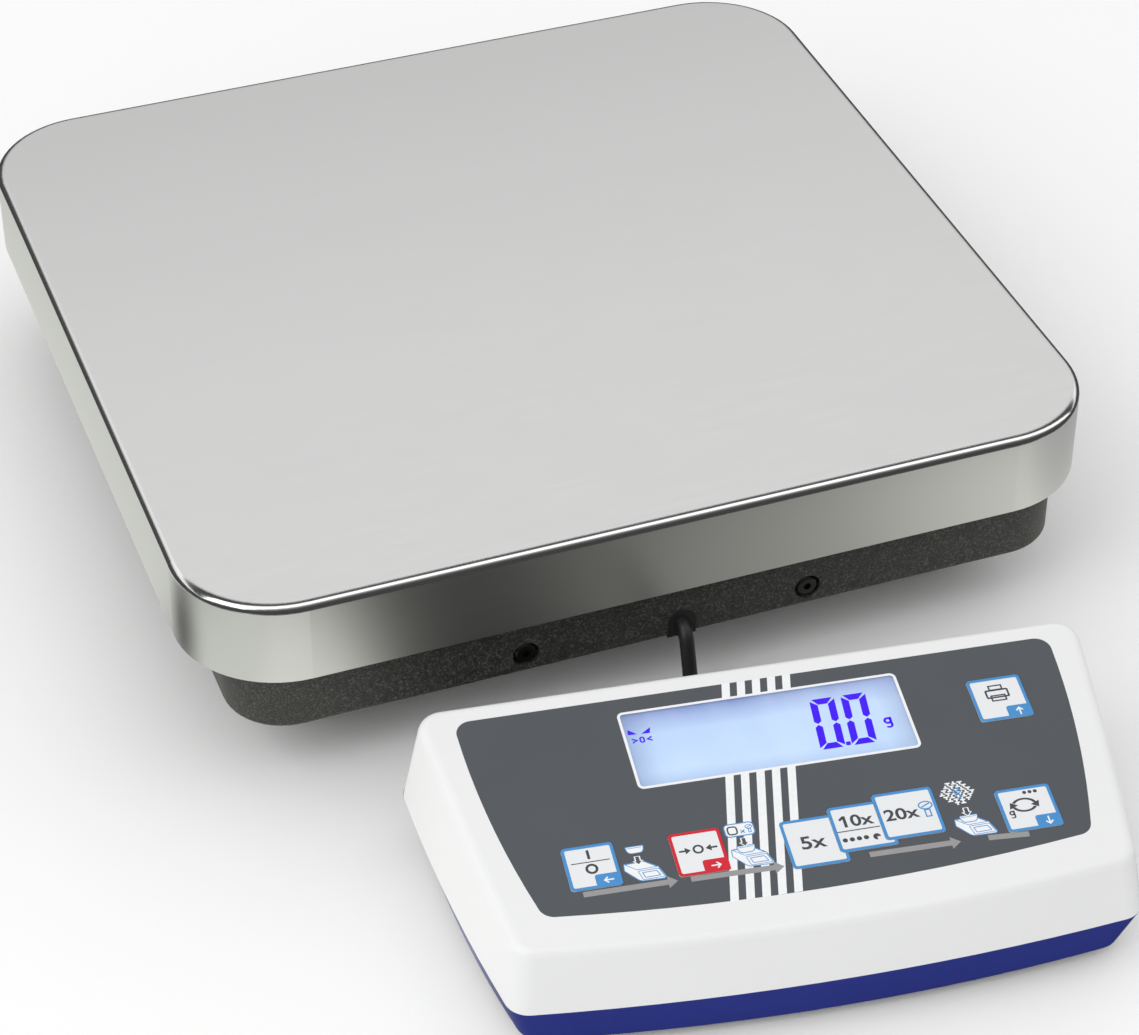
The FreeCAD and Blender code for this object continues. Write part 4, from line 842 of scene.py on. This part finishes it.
def digit_zero():
    """The six segments of a nought in its own frame; the upright ones are pointed in the middle."""
    width, height = DIGIT_SIZE
    w = SEGMENT_WIDTH
    g = SEGMENT_GAP
    c = SEGMENT_CORNER
    half = height / 2
    top = [(c + g, height), (width - c - g, height), (width - w - g, height - w), (w + g, height - w)]
    upper_left = [(0, height - c - g), (0, half + w / 2), (w / 2, half + g), (w, half + w / 2),
                  (w, height - w - g)]
    shapes = [top, [(u, height - s) for u, s in top]]
    for side, end in ((0, 0), (0, height), (width, 0), (width, height)):
        shapes.append([(abs(side - u), abs(end - s)) for u, s in upper_left])
    return shapes


def lcd_figures():
    shapes = []
    for left in DIGIT_LEFT:
        shapes += [leaning(shape, (left, DIGIT_BOTTOM)) for shape in digit_zero()]
    point_left = (DIGIT_LEFT[0] + DIGIT_SIZE[0] + DIGIT_LEFT[1] - POINT_SIZE) / 2
    shapes.append(leaning(box_shape((0, 0), (POINT_SIZE, POINT_SIZE)), (point_left, DIGIT_BOTTOM + 0.3)))
    lcd_print("lcd_digits", shapes)
    for index, shapes in enumerate(unit_g(*UNIT_BOX, UNIT_WEIGHT)):
        lcd_print(f"lcd_unit_{index}", shapes)


def chevron(tip, tail, half, width):
    """An arrow head without a shaft, from its tip to the level of its tails."""
    way = 1 if tip[0] > tail else -1
    return [(tail, tip[1] + half), tip, (tail, tip[1] - half), (tail, tip[1] - half + width * 1.2),
            (tip[0] - way * width * 1.7, tip[1]), (tail, tip[1] + half - width * 1.2)]


def zero_mark():
    """The sign for a true nought: two wedges over a nought between two chevrons."""
    shapes = [[(-43.9, 27.3), (-44.2, 25.2), (-41.3, 25.1)], [(-36.7, 27.2), (-37.3, 24.9), (-40.0, 25.0)],
              chevron((-41.4, 22.6), -43.4, 1.05, 0.55), chevron((-39.1, 22.6), -37.1, 1.05, 0.55)]
    shapes += ring((-40.25, 22.6), (1.7, 2.5), 0.8, 0.5)
    lcd_print("zero_mark", shapes)


def lcd_print(name, shapes):
    carried(flat_piece(name, shapes, LCD_N, "lcd_segment", 0.6), "display")


lcd_figures()
zero_mark()

# Key prints
CARD_CORNER = 1.2
CARD_EDGE = 1.0
TAB_SIZE = (7.9, 5.0)
TAB_CORNER = 0.9
TAB_REACH = 1.6  # half the length of its arrow
TAB_LINE = 0.48
TAB_HEAD = 1.25
TAB_ARROWS = {"power": (-1, 0), "tare": (1, 0), "mode": (0, -1), "print": (0, 1)}
CARDS_OVER = {"5x": "10x", "10x": "20x"}
CARD_GAP = 0.15
CUTTER_STRETCH = 40  # makes the cutter reach through the edge that it cuts


def key_card(name):
    """A key's middle and size on the panel."""
    low, high = node_extent("key_" + name)
    return ((low[0] + high[0]) / 2, (low[1] + high[1]) / 2), (high[0] - low[0], high[1] - low[1])


def on_key(piece, name):
    carried(piece, f"key_{name}_body")


def key_print(name, part, shapes, colour="ink", level=1.0):
    on_key(flat_piece(f"key_{name}_{part}", shapes, KEY_TOP, colour, level), name)


def cut_by_card(piece, above):
    """Takes away what lies under the next card."""
    centre, size = key_card(above)
    grown = (size[0] + 2 * CARD_GAP, size[1] + 2 * CARD_GAP)
    cutter = flat_piece("cutter", [rounded(centre, grown, CARD_CORNER)], 0, "ink")
    cutter.data.transform(PANEL @ Matrix.Diagonal((1, 1, CUTTER_STRETCH, 1)) @ PANEL.inverted())
    modifier = piece.modifiers.new("cut", "BOOLEAN")
    modifier.operation = "DIFFERENCE"
    modifier.solver = "EXACT"
    modifier.object = cutter
    bpy.context.view_layer.update()
    mesh = bpy.data.meshes.new_from_object(piece.evaluated_get(bpy.context.evaluated_depsgraph_get()))
    piece.modifiers.clear()
    piece.data = mesh
    bpy.data.objects.remove(cutter)


def key_colour(name):
    return "print_red" if name == "tare" else "print_blue"


def key_edge(name):
    """The coloured line round a key card."""
    shapes = ring(*key_card(name), CARD_CORNER, CARD_EDGE)
    edge = flat_piece(f"key_{name}_edge", shapes, KEY_TOP, key_colour(name))
    if name in CARDS_OVER:
        cut_by_card(edge, CARDS_OVER[name])
    on_key(edge, name)


def key_tab(name):
    """The coloured tab in a key's lower right corner, with its white arrow."""
    centre, size = key_card(name)
    u = centre[0] + size[0] / 2 - TAB_SIZE[0] / 2
    s = centre[1] - size[1] / 2 + TAB_SIZE[1] / 2
    key_print(name, "tab", [rounded((u, s), TAB_SIZE, TAB_CORNER)], key_colour(name), 1.2)
    right, up = [way * TAB_REACH for way in TAB_ARROWS[name]]
    shape = line_arrow((u - right, s - up), (u + right, s + up), TAB_LINE, TAB_HEAD)
    key_print(name, "arrow", [shape], "print_white", 1.7)


def power_symbol():
    """The usual signs for on and off, over and under a rule."""
    u, s = key_card("power")[0]
    key_print("power", "on", [stroke((u - 0.1, s + 3.0), (u - 0.1, s + 6.4), 0.85)])
    key_print("power", "rule", [stroke((u - 5.9, s + 1.9), (u + 6.0, s + 1.9), 0.32)])
    off = (u - 0.1, s - 0.8)
    key_print("power", "off", [disc(off, 1.95), disc(off, 1.15)])


def tare_symbol():
    """Two arrows that close on a nought."""
    u, s = key_card("tare")[0]
    s += 1.2
    key_print("tare", "symbol", [disc((u, s), 1.7), disc((u, s), 1.05)])
    for name, side in (("left", -1), ("right", 1)):
        shape = arrow((u + side * 5.9, s), (u + side * 2.3, s), 0.65, 2.5, 1.7)
        key_print("tare", "symbol_arrow_" + name, [shape])


def print_symbol():
    """A small printer with its sheet."""
    u, s = key_card("print")[0]
    u -= 0.2
    key_print("print", "symbol", ring((u, s + 2.0), (7.6, 3.6), 0.6, 0.6))
    key_print("print", "symbol_sheet", ring((u, s + 4.5), (4.6, 2.2), 0.2, 0.5))
    key_print("print", "symbol_tray", ring((u, s + 0.2), (5.0, 2.6), 0.2, 0.5), level=1.1)


def mode_symbol():
    """Two arrows chasing each other between single pieces and the weight unit."""
    u, s = key_card("mode")[0]
    u -= 0.9
    s += 1.4
    radius, squeeze = 3.5, 0.68
    for index, head_angle in enumerate((14, 194)):
        key_print("mode", f"symbol_{index}",
                  [band((u, s), radius, 1.0, head_angle, head_angle + 140, squeeze)])
        angle = math.radians(head_angle)
        place = (u + radius * math.cos(angle), s + radius * squeeze * math.sin(angle))
        ahead = (place[0] + 2.2 * math.sin(angle + 0.15), place[1] - 2.2 * math.cos(angle + 0.15))
        key_print("mode", f"symbol_head_{index}", [arrow(place, ahead, 0.4, 3.1, 2.1)])
    for index, shapes in enumerate(unit_g((u - 5.6, s - 4.6), (u - 3.8, s - 1.6), 0.5)):
        key_print("mode", f"unit_{index}", shapes)
    for index in range(3):
        key_print("mode", f"piece_{index}", [disc((u + 1.4 + 1.7 * index, s + 4.7), 0.62)])


# The box that each key's figure fills, and the flag that the built-in font leaves off its 1
FIGURES = {"5x": ((-3.1, -29.9), (4.7, -25.0)), "10x": ((11.7, -24.0), (21.0, -19.5)),
           "20x": ((24.6, -24.2), (35.4, -19.7))}
FLAG = ((10.6, -21.0), (12.1, -19.8), 0.8)


def key_figures():
    for name, (low, high) in FIGURES.items():
        on_key(words(f"key_{name}_figure", name, low, high), name)
    key_print("10x", "flag", [stroke(*FLAG)])


def reference_marks():
    """A rule, a row of counted pieces and a share of one under the figure of the middle card."""
    (u, s), _ = key_card("10x")
    s -= 1.0
    rule = stroke((u - 8.2, s), (u + 5.2, s), 0.35)
    key_print("10x", "rule", [rule])
    for index in range(4):
        key_print("10x", f"piece_{index}", [disc((u - 6.6 + 2.2 * index, s - 3.4), 0.8)])
    key_print("10x", "share", [arc((u + 3.3, s - 3.7), 1.2, 0, 270, 18) + [(u + 3.3, s - 3.7)]])


def counted_screw():
    """The blue screw on the last card."""
    for index, shapes in enumerate(pictured_screw((38.0, -20.1), 4.6, 0.42)):
        key_print("20x", f"screw_{index}", shapes, "print_blue")


for key in ("power", "tare", "5x", "10x", "20x", "mode", "print"):
    key_edge(key)
for key in TAB_ARROWS:
    key_tab(key)
power_symbol()
tare_symbol()
print_symbol()
mode_symbol()
key_figures()
reference_marks()
counted_screw()

# Cable between the platform and the display unit
CABLE_RADIUS = 0.0025
CABLE_SIDES = 20
CABLE_STEPS = 8  # between two points of the middle line


def cable_points():
    """The cable's middle line: out of the housing, down to the table and into the display unit."""
    grommet_low, grommet_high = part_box("cable_grommet")
    ring_low, ring_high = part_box("display_grommet")
    exit_x = (grommet_low.x + grommet_high.x) / 2
    exit_z = grommet_high.z - 0.007
    front = grommet_low.y
    forward = Vector(JOINTS["display_slide"]["axis"])
    entry = (ring_low + ring_high) / 2
    points = [Vector((exit_x, front + 0.030, exit_z)), Vector((exit_x, front + 0.014, exit_z)),
              Vector((exit_x, front + 0.001, exit_z))]
    for back, x, z in ((0.004, -0.0002, 0.0250), (0.0082, -0.0007, 0.0180), (0.0115, -0.0010, 0.0110),
                       (0.017, -0.0012, 0.0058), (0.026, -0.0007, 0.0036), (0.036, 0.0012, 0.0075)):
        points.append(Vector((exit_x + x, front - back, z)))
    points += [entry - forward * 0.010, entry - forward * 0.003, entry + forward * 0.012]
    return points


def between(first, second, start, end, t):
    """The place at t on the way from the first point, at start, to the second, at end."""
    return first * ((end - t) / (end - start)) + second * ((t - start) / (end - start))


def smooth_line(points, steps):
    """A smooth line through the points, by the centripetal Catmull-Rom formula."""
    ends = [points[0] * 2 - points[1]] + points + [points[-1] * 2 - points[-2]]
    line = []
    for k in range(1, len(ends) - 2):
        p0, p1, p2, p3 = ends[k - 1:k + 3]
        t1 = (p1 - p0).length ** 0.5
        t2 = t1 + (p2 - p1).length ** 0.5
        t3 = t2 + (p3 - p2).length ** 0.5
        for step in range(steps):
            t = t1 + (t2 - t1) * step / steps
            a1 = between(p0, p1, 0, t1, t)
            a2 = between(p1, p2, t1, t2, t)
            a3 = between(p2, p3, t2, t3, t)
            line.append(between(between(a1, a2, 0, t2, t), between(a2, a3, t1, t3, t), t1, t2, t))
    line.append(points[-1])
    return line


def tube(name, line, radius, sides, slot):
    """A round tube along a line, with closed ends."""
    work = bmesh.new()
    rings = []
    side = Vector((1, 0, 0))
    for k, point in enumerate(line):
        ahead = line[min(k + 1, len(line) - 1)]
        behind = line[max(k - 1, 0)]
        along = (ahead - behind).normalized()
        side = (side - along * side.dot(along)).normalized()
        other = along.cross(side)
        ring_vertices = []
        for j in range(sides):
            angle = 2 * math.pi * j / sides
            away = side * math.cos(angle) + other * math.sin(angle)
            ring_vertices.append(work.verts.new(point + away * radius))
        rings.append(ring_vertices)
    for first, second in zip(rings, rings[1:]):
        for j in range(sides):
            face = work.faces.new((first[j], first[(j + 1) % sides], second[(j + 1) % sides], second[j]))
            face.smooth = True
    work.faces.new(rings[0])
    work.faces.new(rings[-1])
    bmesh.ops.recalc_face_normals(work, faces=work.faces)
    mesh = bpy.data.meshes.new(name)
    work.to_mesh(mesh)
    work.free()
    mesh.materials.append(MATERIALS[slot])
    return in_scene(name, mesh)


def flexible_cable():
    points = cable_points()
    line = smooth_line(points, CABLE_STEPS)
    cable = tube("flexible_cable", line, CABLE_RADIUS, CABLE_SIDES, "cable_jacket")
    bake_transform(cable)
    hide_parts("signal_cable")


flexible_cable()


def flexing_load_cell():
    """A copy of the load cell, with a mesh of its own, that moves with the platform in place of the CAD node.
    """
    node = NODES["load_cell"]
    cell = in_scene("load_cell_flexing", node.data.copy())
    cell.matrix_world = node.matrix_world.copy()
    carried(cell, "platform")
    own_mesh(cell)
    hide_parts("load_cell")


flexing_load_cell()


# Studio
def look_from(obj, place, target):
    obj.location = place
    obj.rotation_euler = (Vector(target) - Vector(place)).to_track_quat("-Z", "Y").to_euler()


def camera():
    low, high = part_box("weighing_pan")
    middle = (low + high) / 2
    target = Vector((middle.x + CAMERA_TARGET[0], middle.y + CAMERA_TARGET[1], high.z))
    azimuth = math.radians(CAMERA_AZIMUTH)
    elevation = math.radians(CAMERA_ELEVATION)
    back = Vector((math.sin(azimuth) * math.cos(elevation), -math.cos(azimuth) * math.cos(elevation),
                   math.sin(elevation)))
    data = bpy.data.cameras.new("camera")
    data.sensor_width = CAMERA_SENSOR
    data.lens = CAMERA_LENS
    data.clip_start = 0.05
    obj = in_scene("camera", data)
    look_from(obj, target + back * CAMERA_DISTANCE, target)
    bpy.context.scene.camera = obj


def key_light():
    """A square lamp that faces the object."""
    data = bpy.data.lights.new("key_light", "AREA")
    data.size = LIGHT_SIZE
    data.energy = LIGHT_POWER
    look_from(in_scene("key_light", data), LIGHT_PLACE, (0, 0, 0))


def glossy_switch(shader, plain, mirrored):
    """Shows one surface or background to mirror rays and another to all the rest."""
    shader.mix(shader.add("ShaderNodeLightPath").outputs["Is Glossy Ray"], plain, mirrored)


# What the steel mirrors, from the rear horizon (0) over the top (90) to the front horizon (180)
ROOM_BANDS = ((0, 0.07), (24, 0.07), (31, 0.84), (46, 1.28), (53, 0.14), (62, 0.05), (84, 0.07), (94, 1.2),
              (106, 2.0), (118, 1.4), (132, 0.30), (150, 0.08), (180, 0.05))
ROOM_STRENGTH = 4.0  # keeps the levels in the colour ramp under 1
# Light from the room for everything else, from the front (0) to the rear (1)
ROOM_LIGHT = ((0.0, (0.66, 0.66, 0.665)), (0.45, (0.94, 0.94, 0.945)), (1.0, (1.0, 1.0, 1.0)))


def studio_world():
    """Soft light from all round; the steel mirrors a darker room with a bright ceiling and rear wall."""
    world = bpy.data.worlds.new("studio")
    bpy.context.scene.world = world
    shader = Shader("studio", world)
    split = shader.add("ShaderNodeSeparateXYZ")
    shader.join(shader.add("ShaderNodeTexCoord").outputs["Generated"], split.inputs[0])
    plain = shader.add("ShaderNodeBackground")
    shader.join(shader.ramp(shader.span(split.outputs["Y"], -1, 1), *ROOM_LIGHT), plain.inputs["Color"])
    turn = shader.math("ARCTAN2", split.outputs["Z"], split.outputs["Y"])
    bands = shader.ramp(shader.span(turn, 0.0, math.pi),
                        *[(degrees / 180, (level / ROOM_STRENGTH,) * 3) for degrees, level in ROOM_BANDS])
    mirrored = shader.add("ShaderNodeBackground")
    mirrored.inputs["Strength"].default_value = ROOM_STRENGTH
    shader.join(bands, mirrored.inputs["Color"])
    glossy_switch(shader, plain, mirrored)


# What the front skirt mirrors of the floor, along X in millimetres from the middle
FRONT_FLOOR = ((-112, 0.84), (-98, 0.70), (-88, 0.30), (-78, 0.08), (-56, 0.035), (-33, 0.05), (-14, 0.10),
               (4, 0.16), (24, 0.23), (56, 0.30), (88, 0.38), (120, 0.54), (170, 0.78))
FLOOR_HALF = 4
FLOOR_SQUARES = 24
FLOOR_WARMTH = 0.93  # its blue, as a share of its red
LEFT_FLOOR = (0.71, 0.72, 0.68)
LEFT_FLOOR_FADE = (0.020, 0.005)  # where it gives way to the front floor, outside the pan's left side
RIGHT_FLOOR = (0.50, 0.50, 0.49)
RIGHT_FLOOR_FADE = (172, 215)
CORNER_SHADE = (-0.207, 0.004)  # the dark spot that the front left corner mirrors
CORNER_SHADE_RADIUS = (0.012, 0.045)
CORNER_SHADE_TONE = (0.07, 0.07, 0.065)
FLOOR_REACH = (88, 135)  # how far from the pan the floor fades into the dim room
DIM_ROOM = (0.06, 0.06, 0.06)
LIGHT_PLACE = (-1.3, -0.5, 1.3)
LIGHT_SIZE = 1.2
LIGHT_POWER = 7


def studio_floor():
    """A wide pale sheet; in the steel it fades into the dim room around it."""
    work = bmesh.new()
    bmesh.ops.create_grid(work, x_segments=FLOOR_SQUARES, y_segments=FLOOR_SQUARES, size=FLOOR_HALF)
    mesh = bpy.data.meshes.new("floor")
    work.to_mesh(mesh)
    work.free()
    floor = in_scene("floor", mesh)
    shader = Shader("floor_paper")
    paper = shader.principled(Roughness=0.9, Specular_IOR_Level=0.1)
    shader.join(mottled(shader, (0.97, 0.97, 0.965), 6, 0.004), paper.inputs["Base Color"])
    mirrored = shader.add("ShaderNodeEmission")
    shader.join(floor_in_steel(shader), mirrored.inputs["Color"])
    glossy_switch(shader, paper, mirrored)
    mesh.materials.append(shader.material)


def floor_in_steel(shader):
    """The floor as the steel mirrors it: light and dark patches round the pan, then the dim room."""
    low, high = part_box("weighing_pan")
    middle = (low + high) / 2
    half = (high - low) / 2
    split = shader.add("ShaderNodeSeparateXYZ")
    shader.join(shader.position(), split.inputs[0])
    x, y = split.outputs["X"], split.outputs["Y"]
    first, last = FRONT_FLOOR[0][0], FRONT_FLOOR[-1][0]
    front = shader.ramp(shader.span(x, first * MM, last * MM),
                        *[((place - first) / (last - first), (level, level, level * FLOOR_WARMTH))
                          for place, level in FRONT_FLOOR])
    right = shader.span(x, RIGHT_FLOOR_FADE[0] * MM, RIGHT_FLOOR_FADE[1] * MM)
    tone = shader.blend(right, front, RIGHT_FLOOR)
    left = shader.span(x, low.x - LEFT_FLOOR_FADE[0], low.x - LEFT_FLOOR_FADE[1], 1, 0)
    tone = shader.blend(left, tone, LEFT_FLOOR)
    away = shader.add("ShaderNodeVectorMath", operation="DISTANCE")
    shader.join(shader.position(), away.inputs[0])
    away.inputs[1].default_value = (*CORNER_SHADE, 0)
    shade = shader.span(away.outputs["Value"], *CORNER_SHADE_RADIUS, 1, 0)
    tone = shader.blend(shade, tone, CORNER_SHADE_TONE)
    out_x = shader.math("SUBTRACT", shader.math("ABSOLUTE", x), half.x)
    out_y = shader.math("SUBTRACT", shader.math("ABSOLUTE", shader.math("SUBTRACT", y, middle.y)), half.y)
    out = shader.math("MAXIMUM", out_x, out_y)
    fade = shader.span(out, FLOOR_REACH[0] * MM, FLOOR_REACH[1] * MM)
    return shader.blend(fade, tone, DIM_ROOM)


def keep_display_out_of_steel():
    """The skirt mirrors the plain floor, not the display unit in front of it."""
    on_display_unit = {"display"}
    on_display_unit |= {joint["child"] for joint in frame["joints"] if joint["parent"] == "display"}
    for piece in bpy.context.scene.objects:
        if piece.get("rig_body") in on_display_unit:
            piece.visible_glossy = False


keep_display_out_of_steel()
camera()
studio_world()
studio_floor()
key_light()
bpy.context.scene.view_settings.view_transform = "Standard"
